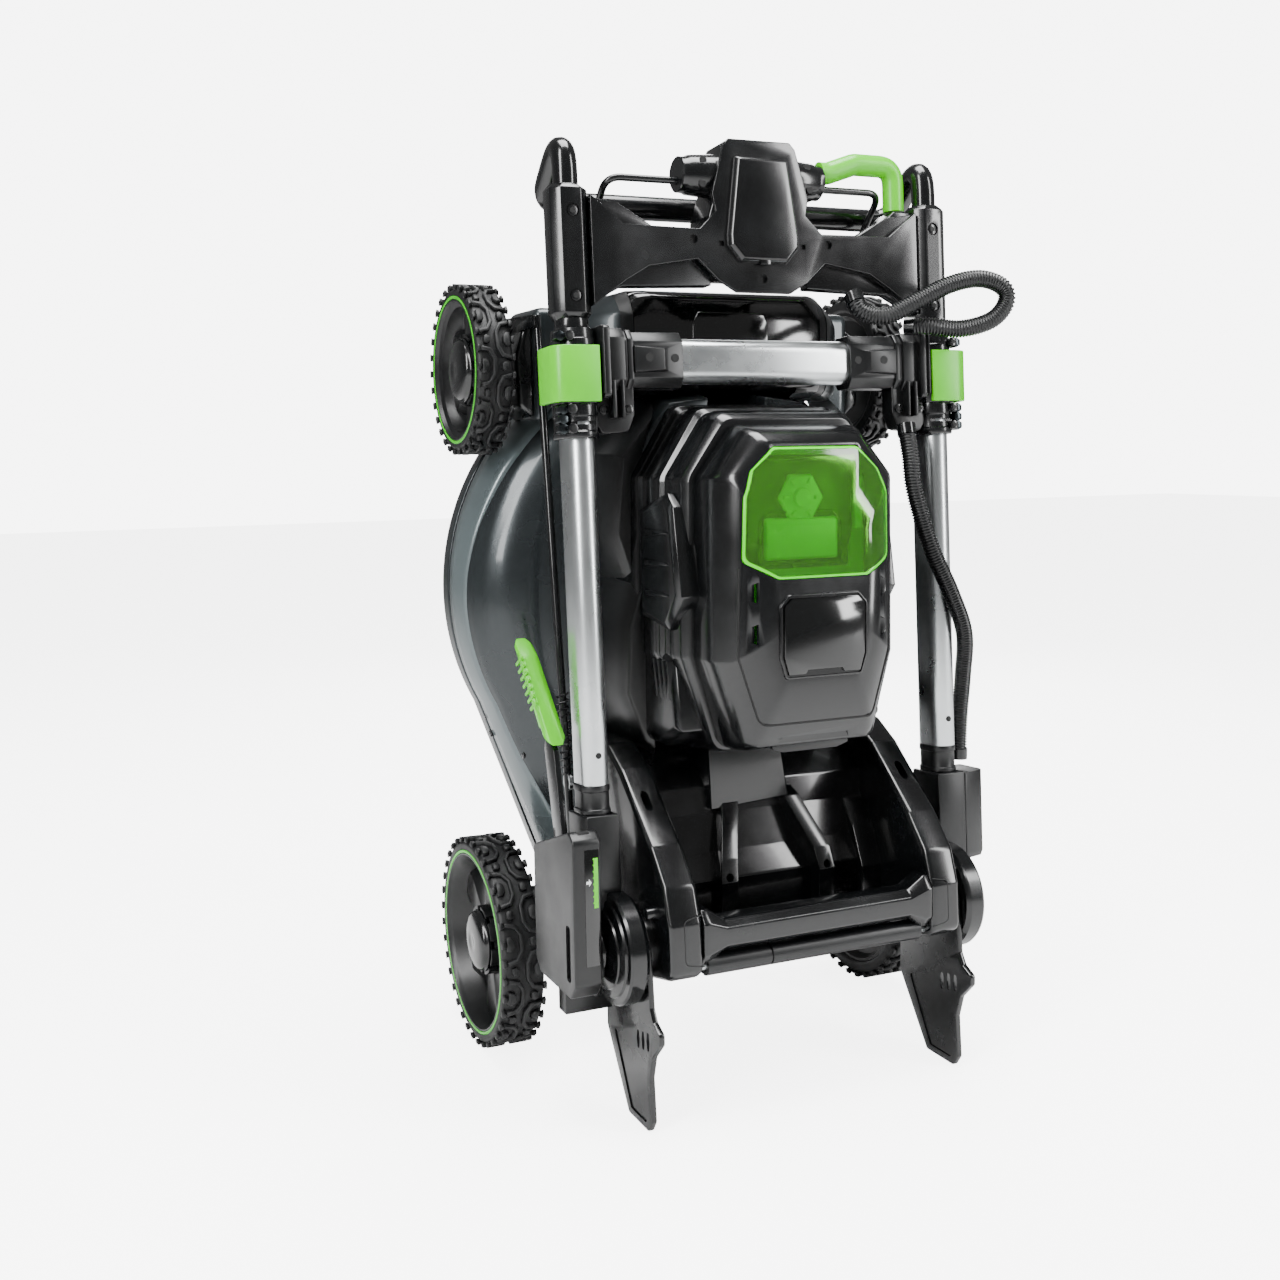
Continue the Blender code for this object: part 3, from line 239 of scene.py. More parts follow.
# Polyester powder coat with fine metal flake over pressed steel: satin, with orange peel 2.5 mm wide.
# Its convex edges carry a painted highlight.
DECK_COAT = Finish("graphite_powder_coat", "deck_grey", "#2C3133", 0.30, Texture.PEEL, 2.5, 0.02,
                   drift_and_highlight_tone="#363D3F", patch_mm=110, metallic=0.55, coat=0.35, edge_highlight=0.2)
# The same coat in a lighter silver grey, on the deck's skirt band.
# It keeps the deck coat's painted highlight along convex edges.
BAND_COAT = replace(DECK_COAT, name="silver_powder_coat", tone="#5E686A", drift_and_highlight_tone="#6C7779", metallic=0.35)
# Black powder coat over sheet steel: the peel is finer and glossier.
# Its convex edges carry a painted highlight.
BLACK_COAT = Finish("black_powder_coat", "black_steel", "#060708", 0.26, Texture.PEEL, 1.8, 0.015,
                    edge_highlight=0.35, coat=0.4, ior=1.5)
# Nylon dyed lime: clean, even, with a soft sheen.
LIME = Finish("lime_nylon", "lime", "#55CC00", 0.34, Texture.SPARKED, 0.8, 0.01, drift_and_highlight_tone="#60D606",
              patch_share=0.4, gloss_drift=0.03, ior=1.53)
LIME_RING = replace(LIME, name="lime_moulded_ring", tone="#3AC406", drift_and_highlight_tone="#45D010")
# Clear polycarbonate dyed green: glass-smooth, with the faint flow waviness of a big clear moulding.
CLEAR_GREEN = Finish("clear_green_polycarbonate", "clear_green", "#98FF58", 0.06, Texture.POLISHED, 22.0,
                     0.03, drift_and_highlight_tone="#8AFA4A", gloss_drift=0.02, ior=1.58, clear=0.94)
GREEN_EDGE = Finish("green_polycarbonate_edge", "clear_green", "#5CFF14", 0.18, Texture.POLISHED, 18.0, 0.02,
                    drift_and_highlight_tone="#8AFF4A", ior=1.58, clear=0.2)
# Drawn aluminium tube, satin anodised: faint lines along the draw, 0.25 mm real, drawn at 0.5 mm.
ANODISED = Finish("anodised_aluminium", "silver_aluminium", "#D3D7D8", 0.30, Texture.DRAWN, 0.5, 0.0012,
                  drift_and_highlight_tone="#C4C9CA", patch_share=0.5, metallic=1.0)
ANODISED_ACROSS = replace(ANODISED, name="anodised_aluminium_crossbar", along="X")
# Drawn tube, black painted: a smooth skin with a clear highlight down it.
# Its edges carry a painted highlight.
BLACK_TUBE = Finish("black_painted_tube", "black_aluminium", "#060708", 0.22, Texture.PEEL, 2.0, 0.01,
                    coat=0.5, edge_highlight=0.2)
# Cast and machined aluminium of the motor.
MOTOR = Finish("cast_aluminium", "motor_aluminium", "#8A8F91", 0.42, Texture.SPARKED, 1.0, 0.05,
               drift_and_highlight_tone="#777C7E", metallic=1.0)
# Ground high-carbon steel: grinding lines across the blade and a dull oiled sheen.
BLADE_STEEL = Finish("ground_blade_steel", "steel", "#A4A8AA", 0.34, Texture.GROUND, 0.5, 0.02,
                     drift_and_highlight_tone="#8B8F91", patch_share=0.5, metallic=1.0, along="Z")
ZINC = Finish("zinc_plated_steel", "steel", "#B5B9BA", 0.28, Texture.PEEL, 0.8, 0.01, drift_and_highlight_tone="#9FA4A6",
              metallic=1.0)
# The same plating, passivated black, on nuts.
ZINC_BLACK = replace(ZINC, name="black_passivated_zinc", tone="#3A3F41", drift_and_highlight_tone="#565C5E", roughness=0.24)
# Natural and synthetic rubber cured in a blasted mould: matt, with a dusting that lightens it in patches.
# The lug edges carry a painted highlight.
TYRE_RUBBER = Finish("moulded_tyre_rubber", "tyre", "#090A0B", 0.55, Texture.CURED, 0.7, 0.03, drift_and_highlight_tone="#141718",
                     patch_share=0.5, gloss_drift=0.1, edge_highlight=0.45, ior=1.52)
LABEL_WHITE = Finish("white_print", "gloss_black", "#E8ECEC", 0.4, Texture.POLISHED, 5.0, 0.002,
                     drift_and_highlight_tone="#D8DCDC")
HOLLOW = Finish("shadowed_screw_socket", "black_plastic", "#020303", 0.6, Texture.SPARKED, 0.8, 0.02,
                drift_and_highlight_tone="#060707")


# ---------------------------------------------------------------- shaping

def circle(centre: Point, radius: float, sides: int = 32, start: float = 0.0) -> list[Point]:
    """The points of a circle, from an angle on."""
    return [(centre[0] + radius * cos(start + 2 * pi * i / sides),
             centre[1] + radius * sin(start + 2 * pi * i / sides)) for i in range(sides)]


def oval(centre: Point, width: float, depth: float, sides: int = 32) -> list[Point]:
    """A flat-sided oval, longer along its second coordinate."""
    radius, straight, half = width / 2, (depth - width) / 2, sides // 2
    lower = [(centre[0] + radius * cos(pi + pi * i / half),
              centre[1] - straight + radius * sin(pi + pi * i / half))
             for i in range(half + 1)]
    upper = [(centre[0] + radius * cos(pi * i / half), centre[1] + straight + radius * sin(pi * i / half))
             for i in range(half + 1)]
    return lower + upper


def both_halves(half: Sequence[Point]) -> list[Point]:
    """A closed outline from its right half, listed from bottom to top."""
    return [*half, *[(-x, z) for x, z in reversed(half)]]


def rounded(corners: Sequence[Sequence[float]], radius: float, steps: int = 8,
            closed: bool = False) -> list[Vector]:
    """Straight runs whose corners are rounded.

    Args:
        corners: The corner points, in two or three dimensions.
        radius: The corner radius, less where a run is too short for it.
        steps: Pieces in each corner.
        closed: Whether the last point runs on to the first.

    Returns:
        The points of the rounded line.
    """
    spots = [Vector(corner) for corner in corners]
    count = len(spots)
    points = [] if closed else [spots[0]]
    for index in range(0 if closed else 1, count if closed else count - 1):
        at = spots[index]
        back, on = spots[index - 1] - at, spots[(index + 1) % count] - at
        half = back.angle(on) / 2
        reach = min(radius * cos(half) / sin(half), 0.48 * back.length, 0.48 * on.length)
        first, last = at + back.normalized() * reach, at + on.normalized() * reach
        points += [first.lerp(at, t).lerp(at.lerp(last, t), t) for t in (i / steps for i in range(steps + 1))]
    return points if closed else [*points, spots[-1]]


def flat(points: Iterable[Vector]) -> list[Point]:
    """Plain pairs from two-dimensional points."""
    return [(point[0], point[1]) for point in points]


def mm(*points: Sequence[float]) -> list[tuple[float, ...]]:
    """Points given in millimetres, in metres."""
    return [tuple(value * MM for value in point) for point in points]


def between(table: Sequence[Point], at: float) -> float:
    """The value that a table of rising places and values gives at a place, held at its ends."""
    if at <= table[0][0]:
        return table[0][1]
    for (low, first), (high, second) in zip(table, table[1:]):
        if at <= high:
            return first + (second - first) * (at - low) / (high - low)
    return table[-1][1]


def offset(points: Sequence[Point], by: float, closed: bool = True) -> list[Point]:
    """Moves each side of an outline inwards, or each run of an open line to its left.

    Args:
        points: The outline or line.
        by: How far.
        closed: Whether it is an outline.

    Returns:
        The moved points.
    """
    spots = [Vector(point) for point in points]
    count = len(spots)
    turn = 1.0
    if closed:
        area = sum(a.x * b.y - b.x * a.y for a, b in zip(spots, spots[1:] + spots[:1]))
        turn = 1.0 if area > 0 else -1.0
    moved = []
    for i, spot in enumerate(spots):
        before = spots[i - 1] if closed or i else None
        after = spots[(i + 1) % count] if closed or i < count - 1 else None
        ways = [(b - a).normalized() for a,
                b in ((before, spot), (spot, after)) if a is not None and b is not None]
        normals = [Vector((-way.y, way.x)) for way in ways]
        middle_way = sum(normals, Vector((0.0, 0.0))).normalized()
        moved.append(tuple(spot + middle_way * (turn * by / max(0.35, middle_way.dot(normals[0])))))
    return moved


def strip(points: Sequence[Point], width: float) -> list[Point]:
    """The outline of a bar of even width along an open line."""
    return offset(points, width / 2, False) + offset(points, -width / 2, False)[::-1]


def softened(half: Sequence[Point], radius: float, steps: int = 4) -> list[Point]:
    """A closed outline from its right half, with rounded corners."""
    return flat(rounded(both_halves(half), radius, steps, closed=True))


def smooth_route(points: Sequence[Sequence[float]], spacing: float) -> list[Vector]:
    """Points along a smooth curve through a given route, an even distance apart."""
    route = [Vector(point) for point in points]
    route = [2 * route[0] - route[1], *route, 2 * route[-1] - route[-2]]
    fine = []
    for a, b, c, d in zip(route, route[1:], route[2:], route[3:]):
        for i in range(48):
            t = i / 48
            fine.append(0.5 * ((2 * b) + (c - a) * t + (2 * a - 5 * b + 4 * c - d) * t * t
                               + (3 * b - a - 3 * c + d) * t ** 3))
    fine.append(route[-2])
    total = sum((q - p).length for p, q in zip(fine, fine[1:]))
    count = max(2, round(total / spacing))
    even, walked = [fine[0]], 0.0
    for p, q in zip(fine, fine[1:]):
        step = (q - p).length
        while len(even) < count and walked + step >= total / count * len(even):
            even.append(p.lerp(q, (total / count * len(even) - walked) / step))
        walked += step
    return [*even, fine[-1]]


class Form:
    """A mesh in the making. Each shape that is added is bevelled by itself."""

    def __init__(self) -> None:
        """Starts with nothing."""
        self.mesh: BMesh = bmesh.new()

    def take(self, part: BMesh, bevel: float = 0.0, segments: int = 2, angle: float = 28) -> "Form":
        """Takes a shape in, after rounding its edges.

        Args:
            part: The shape, which is used up.
            bevel: Width of the rounding.
            segments: Steps in the rounding.
            angle: Edges that bend by more than this, in degrees, are rounded.

        Returns:
            This form.
        """
        bmesh.ops.recalc_face_normals(part, faces=part.faces)
        if bevel:
            edges = [e for e in part.edges if e.is_manifold and e.calc_face_angle(0.0) > radians(angle)]
            bmesh.ops.bevel(part, geom=edges, offset=bevel, offset_type="OFFSET", segments=segments,
                            profile=0.5, affect="EDGES", material=-1, clamp_overlap=True)
        held = bpy.data.meshes.new("held")
        part.to_mesh(held)
        part.free()
        self.mesh.from_mesh(held)
        bpy.data.meshes.remove(held)
        return self

    def block(self, x: Span, y: Span, z: Span, bevel: float = 0.0008, segments: int = 2) -> "Form":
        """Adds a box between these limits."""
        part = bmesh.new()
        bmesh.ops.create_cube(part, size=1.0)
        bmesh.ops.scale(part, vec=(x[1] - x[0], y[1] - y[0], z[1] - z[0]), verts=part.verts)
        bmesh.ops.translate(part, vec=((x[0] + x[1]) / 2, (y[0] + y[1]) / 2, (z[0] + z[1]) / 2),
                            verts=part.verts)
        return self.take(part, bevel, segments)

    def plate(self, axis: str, outline: Sequence[Point], low: float, high: float, bevel: float = 0.0008,
              segments: int = 2, angle: float = 28) -> "Form":
        """Adds an outline extruded along an axis."""
        return self.loft(axis, [(low, outline), (high, outline)], bevel, segments, angle)

    def loft(self, axis: str, rings: Sequence[tuple[float, Sequence[Point]]], bevel: float = 0.0008,
             segments: int = 2, angle: float = 28, caps: tuple[bool, bool] = (True, True)) -> "Form":
        """Adds a shape extruded from outline to outline.

        Args:
            axis: The axis that the outlines are stacked along.
            rings: Each outline, with its place on the axis. All have the same number of points.
            bevel: Width of the rounding.
            segments: Steps in the rounding.
            angle: Edges that bend by more than this, in degrees, are rounded.
            caps: Whether the first and the last end are closed.

        Returns:
            This form.
        """
        across, up, along = {"X": (1, 2, 0), "Y": (0, 2, 1), "Z": (0, 1, 2)}[axis]

        def spot(pair: Point, level: float) -> Vector:
            """A pair of outline coordinates as a point."""
            point = Vector((0.0, 0.0, 0.0))
            point[across], point[up], point[along] = pair[0], pair[1], level
            return point

        part = bmesh.new()
        verts = [part.verts.new(spot(pair, rings[0][0])) for pair in rings[0][1]]
        first = face = part.faces.new(verts)
        for level, outline in rings[1:]:
            grown = bmesh.ops.extrude_face_region(part, geom=[face])["geom"]
            if face is not first:
                bmesh.ops.delete(part, geom=[face], context="FACES_ONLY")
            face = next(item for item in grown if isinstance(item, BMFace))
            found = {tuple(vert.co): vert for vert in face.verts}
            verts = [found[tuple(vert.co)] for vert in verts]
            for vert, pair in zip(verts, outline):
                vert.co = spot(pair, level)
        open_ends = [end for end, kept in ((first, caps[0]), (face, caps[1])) if not kept]
        bmesh.ops.delete(part, geom=open_ends, context="FACES_ONLY")
        return self.take(part, bevel, segments, angle)

    def rod(self, axis: str, centre: Point, radius: float, low: float, high: float, sides: int = 32,
            tip: float | None = None, bevel: float = 0.0006, segments: int = 2) -> "Form":
        """Adds a round bar, or a cone with another radius at its high end."""
        start, end = circle(centre, radius, sides, pi / sides), circle(centre, tip or radius, sides,
                                                                       pi / sides)
        return self.loft(axis, [(low, start), (high, end)], bevel, segments)

    def lathe(self, centre: Point, profile: Sequence[Point], steps: int = 64) -> "Form":
        """Adds a closed section of (radius, x) points spun round an X axis through this (y, z)."""
        part = bmesh.new()
        verts = [part.verts.new((x, centre[0], centre[1] + r)) for r, x in profile]
        edges = [part.edges.new((verts[i - 1], verts[i])) for i in range(len(verts))]
        bmesh.ops.spin(part, geom=verts + edges, cent=(0, *centre), axis=(1, 0, 0), angle=2 * pi, steps=steps,
                       use_merge=True)
        bmesh.ops.remove_doubles(part, verts=part.verts, dist=1e-6)
        bmesh.ops.delete(part, geom=[edge for edge in part.edges if edge.is_wire], context="EDGES")
        return self.take(part)

    def tube(self, points: Sequence[Vector], radius: float, sides: int = 4,
             radii: Sequence[float] | None = None) -> "Form":
        """Adds a round bar along points, as a bevelled curve with filled ends."""
        curve = bpy.data.curves.new("bar", "CURVE")
        curve.dimensions = "3D"
        curve.bevel_depth = radius
        curve.bevel_resolution = sides
        curve.use_fill_caps = True
        spline = curve.splines.new("POLY")
        spline.points.add(len(points) - 1)
        for index, point in enumerate(points):
            spline.points[index].co = (*point, 1.0)
            spline.points[index].radius = radii[index] if radii else 1.0
        holder = bpy.data.objects.new("bar", curve)
        part = bmesh.new()
        mesh = holder.to_mesh()
        part.from_mesh(mesh)
        holder.to_mesh_clear()
        bpy.data.objects.remove(holder)
        bpy.data.curves.remove(curve)
        bmesh.ops.remove_doubles(part, verts=part.verts, dist=1e-6)
        return self.take(part)

    def node(self, name: str, bevel: float, segments: int = 2) -> "Form":
        """Adds a copy of a CAD node, merged, with its edges rounded. It is in the row frame."""
        part = bmesh.new()
        part.from_mesh(frame["nodes"][name].data)
        bmesh.ops.remove_doubles(part, verts=part.verts, dist=2e-6)
        bmesh.ops.dissolve_limit(part, angle_limit=radians(0.6), verts=part.verts, edges=part.edges)
        return self.take(part, bevel, segments)

    def add(self, other: "Form") -> "Form":
        """Takes in a copy of another form."""
        held = bpy.data.meshes.new("held")
        other.mesh.to_mesh(held)
        self.mesh.from_mesh(held)
        bpy.data.meshes.remove(held)
        return self

    def move(self, by: Sequence[float]) -> "Form":
        """Moves the form."""
        bmesh.ops.translate(self.mesh, vec=Vector(by), verts=self.mesh.verts)
        return self

    def turn(self, axis: str, angle: float, centre: Sequence[float] = (0, 0, 0)) -> "Form":
        """Turns the form about an axis through a point, in radians."""
        bmesh.ops.rotate(self.mesh, cent=Vector(centre), matrix=Matrix.Rotation(angle, 3, axis),
                         verts=self.mesh.verts)
        return self

    def shape(self, change: Callable[[Vector], Vector]) -> "Form":
        """Moves every point by a rule, such as to wrap a flat pattern round a wheel."""
        for vert in self.mesh.verts:
            vert.co = change(vert.co)
        return self

    def flipped(self) -> "Form":
        """A copy mirrored across X."""
        other = Form().add(self)
        bmesh.ops.scale(other.mesh, vec=(-1, 1, 1), verts=other.mesh.verts)
        bmesh.ops.reverse_faces(other.mesh, faces=other.mesh.faces)
        return other

    def both(self) -> "Form":
        """Adds the form's own mirror image across X."""
        return self.add(self.flipped())

    def on(self, side: Side) -> "Form":
        """The form as drawn for the right, or mirrored for the left."""
        return self if side is Side.RIGHT else self.flipped()

    def carve(self, cutter: "Form", operation: str = "DIFFERENCE") -> "Form":
        """Cuts the form with another, or joins or crosses them."""
        holders = []
        for form in (self, cutter):
            mesh = bpy.data.meshes.new("carving")
            form.mesh.to_mesh(mesh)
            holders.append(bpy.data.objects.new("carving", mesh))
            bpy.context.scene.collection.objects.link(holders[-1])
        modifier = holders[0].modifiers.new("Carve", "BOOLEAN")
        modifier.operation = operation
        modifier.solver = "EXACT"
        modifier.use_self = True
        modifier.object = holders[1]
        result = holders[0].evaluated_get(bpy.context.evaluated_depsgraph_get()).to_mesh()
        self.mesh.clear()
        self.mesh.from_mesh(result)
        for holder in holders:
            bpy.data.meshes.remove(holder.data)
        return self

    def smooth_edges(self, bevel: float, segments: int = 2, angle: float = 28) -> "Form":
        """Rounds the edges of the whole form, as after a cut."""
        part = self.mesh
        self.mesh = bmesh.new()
        bmesh.ops.remove_doubles(part, verts=part.verts, dist=2e-6)
        bmesh.ops.dissolve_limit(part, angle_limit=radians(0.5), verts=part.verts, edges=part.edges)
        return self.take(part, bevel, segments, angle)

    def piece(self, name: str, finish: Finish, body: str, *replaced: str, space: Space | None = Space.STAND,
              sharp: float = 40, wall: float = 0.0) -> bpy.types.Object:
        """Makes the form a piece of the mower and reports it.

        Args:
            name: The piece's name.
            finish: Its material.
            body: The CAD body that it moves with.
            *replaced: The CAD nodes that it stands for.
            space: The frame that it was drawn in, or None for the row frame.
            sharp: Edges that bend by more than this, in degrees, stay crisp.
            wall: Thickness given inwards to an open skin.

        Returns:
            The finished object.
        """
        if space is not None:
            bmesh.ops.transform(self.mesh, matrix=space.value, verts=self.mesh.verts)
        mesh = bpy.data.meshes.new(name)
        self.mesh.to_mesh(mesh)
        self.mesh.free()
        mesh.shade_smooth()
        mesh.set_sharp_from_angle(angle=radians(sharp))
        mesh.materials.append(finish.material())
        obj = bpy.data.objects.new(name, mesh)
        bpy.context.scene.collection.objects.link(obj)
        if wall:
            skin = obj.modifiers.new("Wall", "SOLIDIFY")
            skin.thickness = wall
            skin.offset = -1.0
            skin.use_even_offset = True
        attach(obj, body)
        if replaced:
            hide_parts(*replaced)
        LOG.info("%s: %d faces on %s", name, len(mesh.polygons), body)
        return obj


# ---------------------------------------------------------------- wheels

@dataclass(frozen=True)
class Wheel:
    """A wheel: tyre with moulded lugs, lime ring, spoked rim and domed hubcap."""

    end: str
    side: Side
    repeats: int                  # times that the tread pattern goes round
    ring_depth: float             # from the tread down to the middle of the lime ring
    spokes: int = 6
    tread: float = 0.0042         # height of the lugs
    bead: float = 0.0201          # from the tread down to the rim's barrel
    collar_r: float = 0.0375
    cap_r: float = 0.0335

    @property
    def key(self) -> str:
        """The end of the names of this wheel's nodes."""
        return f"{self.end}_{self.side.word}"

    def sizes(self) -> tuple[Point, float, float, float]:
        """The right-hand wheel's centre (y, z), radius, and inner and outer X, from its tyre node."""
        low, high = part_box(f"tyre_{self.end}_right")
        return (((low.y + high.y) / 2 - STAND_Y, (low.z + high.z) / 2), (high.z - low.z) / 2, low.x, high.x)

    def lug(self, form: Form, outline: Sequence[Point]) -> None:
        """Adds one lug of the flat tread, whose sides slope in."""
        form.loft("Y", [(-0.0012, outline), (self.tread - 0.0002, offset(outline, 0.0005))], 0.0004, 1)

    def tread_unit(self, width: float, pitch: float) -> Form:
        """One repeat of the tread, flat, with its length along Z: a half-hexagon bar from each shoulder."""
        unit = Form()
        a, p = width / 0.047, pitch / 0.060
        bar = [(4.5, -20.5), (15.5, -18.0), (21.0, -8.5), (21.0, 8.5), (15.5, 18.0), (4.5, 20.5)]
        tongue = [(5.0, -8.0), (10.5, -8.0), (14.0, -4.0), (14.0, 4.0), (10.5, 8.0), (5.0, 8.0)]
        stud = [(9.0, 26.0), (13.0, 24.5), (17.0, 26.5), (17.0, 33.5), (13.0, 35.5), (9.0, 34.0)]
        blocks = [[(-0.2, s - 4.6), (4.6, s - 3.2), (4.6, s + 3.2), (-0.2, s + 4.6)]
                  for s in (-20.0, 0.0, 20.0)]
        shapes = [strip([(x * a, s * p) for x, s in mm(*bar)], 0.0046),
                  *[[(x * a, s * p) for x, s in mm(*outline)] for outline in (tongue, stud, *blocks)]]
        for outline in shapes:
            self.lug(unit, outline)
            self.lug(unit, [(width - x, s + pitch / 2) for x, s in outline])
        return unit

    def tyre(self) -> Form:
        """The carcass with its bead, rounded shoulders, and the lugs wrapped round it."""
        centre, radius, inner, outer = self.sizes()
        ring = self.ring_depth - 0.0014
        inside = [(self.bead, 0.0040), (0.0180, 0.0010), (0.0150, 0.0003)]
        outside = [(self.bead, 0.0062), (ring, 0.0058), (ring - 0.0003, 0.0009)]
        shoulder = [(0.0108, 0.0014), (0.0092, 0.0008), (0.0066, 0.0020), (0.0048, 0.0052), (0.0043, 0.0110)]
        profile = ([(radius - depth, inner + x) for depth, x in inside + shoulder]
                   + [(radius - depth, outer - x) for depth, x in (outside + shoulder)[::-1]])
        form = Form().lathe(centre, profile, 96)
        floor = radius - self.tread
        pitch = 2 * pi * radius / self.repeats
        unit = self.tread_unit(outer - inner, pitch)
        for i in range(self.repeats):
            turned = Form().add(unit)
            for vert in turned.mesh.verts:
                angle = (vert.co.z + i * pitch) / radius
                reach = floor + vert.co.y
                vert.co = (inner + vert.co.x, centre[0] + reach * sin(angle), centre[1] + reach * cos(angle))
            bmesh.ops.recalc_face_normals(turned.mesh, faces=turned.mesh.faces)
            form.add(turned)
        return form

    def rim(self) -> Form:
        """Flange, barrel and web, with raised wedge spokes and a notched collar round the hub."""
        centre, radius, inner, outer = self.sizes()
        flange = radius - self.ring_depth - 0.0019
        barrel, web = radius - self.bead - 0.0001, inner + 0.36 * (outer - inner)
        form = Form().lathe(centre, [
            (barrel, inner + 0.0042), (barrel, outer - 0.0064), (flange, outer - 0.0060),
            (flange, outer - 0.0016), (flange - 0.0008, outer - 0.0009), (flange - 0.0022, outer - 0.0011),
            (flange - 0.0036, outer - 0.0050),
            (barrel - 0.0035, outer - 0.0075), (barrel - 0.0060, web + 0.0030), (barrel - 0.0090, web),
            (0.020, web), (0.020, web - 0.004), (barrel - 0.0080, web - 0.004),
            (barrel - 0.0030, inner + 0.0042)], 72)
        reach = barrel - 0.0045
        for i in range(self.spokes):
            angle = 2 * pi * (i + 0.5) / self.spokes
            low = [(0.030, -0.0135), (0.85 * reach, -0.33 * reach), (reach, -0.31 * reach),
                   (reach * 1.04, 0.0), (reach, 0.31 * reach), (0.85 * reach, 0.33 * reach), (0.030, 0.0135)]
            high = [(0.030, -0.0085), (0.85 * reach, -0.20 * reach), (0.97 * reach, -0.17 * reach),
                    (reach, 0.0), (0.97 * reach, 0.17 * reach), (0.85 * reach, 0.20 * reach), (0.030, 0.0085)]
            spoke = Form().loft("X", [(web - 0.001, low), (web + 0.0085, high)], 0.0012, 2)
            form.add(spoke.turn("X", angle).move((0, *centre)))
        top = outer - 0.0115
        form.rod("X", centre, 0.0345, web - 0.001, top - 0.0045, 48)
        for i in range(8):
            start, sweep = 2 * pi * i / 8, radians(31)
            arc = [(self.collar_r * cos(start + sweep * k / 5), self.collar_r * sin(start + sweep * k / 5))
                   for k in range(6)]
            tooth = offset(arc, 0.0018, False)
            form.add(Form().plate("X", strip(tooth, 0.0036), web - 0.001, top, 0.0004).move((0, *centre)))
        return form

    def hubcap(self) -> Form:
        """The smooth dome over the hub, with a step round its edge."""
        centre, _, _, outer = self.sizes()
        base, cap = outer - 0.0128, self.cap_r
        return Form().lathe(centre, [
            (0.0, base), (cap, base), (cap, base + 0.0028), (cap - 0.0010, base + 0.0036),
            (cap - 0.0016, base + 0.0058), (cap - 0.0028, base + 0.0078), (cap - 0.0060, base + 0.0098),
            (cap - 0.0115, base + 0.0112), (cap - 0.0190, base + 0.0120), (0.0075, base + 0.0123),
            (0.0070, base + 0.0121), (0.0, base + 0.0121)], 64)

    def build(self) -> None:
        """Builds the wheel on its side."""
        centre, radius, _, outer = self.sizes()
        body, mid = f"wheel_{self.key}", radius - self.ring_depth
        self.tyre().on(self.side).piece(f"tyre_tread_{self.key}", TYRE_RUBBER, body, f"tyre_{self.key}",
                                        sharp=50)
        ring = [(mid - 0.0017, outer - 0.0052), (mid + 0.0012, outer - 0.0052),
                (mid + 0.0012, outer - 0.0010),
                (mid + 0.0006, outer - 0.0006), (mid - 0.0010, outer - 0.0006),
                (mid - 0.0017, outer - 0.0010)]
        Form().lathe(centre, ring, 96).on(self.side).piece(f"lime_ring_{self.key}", LIME_RING, body)
        self.rim().on(self.side).piece(f"spoked_rim_{self.key}", NYLON, body, f"rim_{self.key}")
        self.hubcap().on(self.side).piece(f"hub_dome_{self.key}", SMOOTH_NYLON, body, f"hubcap_{self.key}")


# ---------------------------------------------------------------- deck and nose

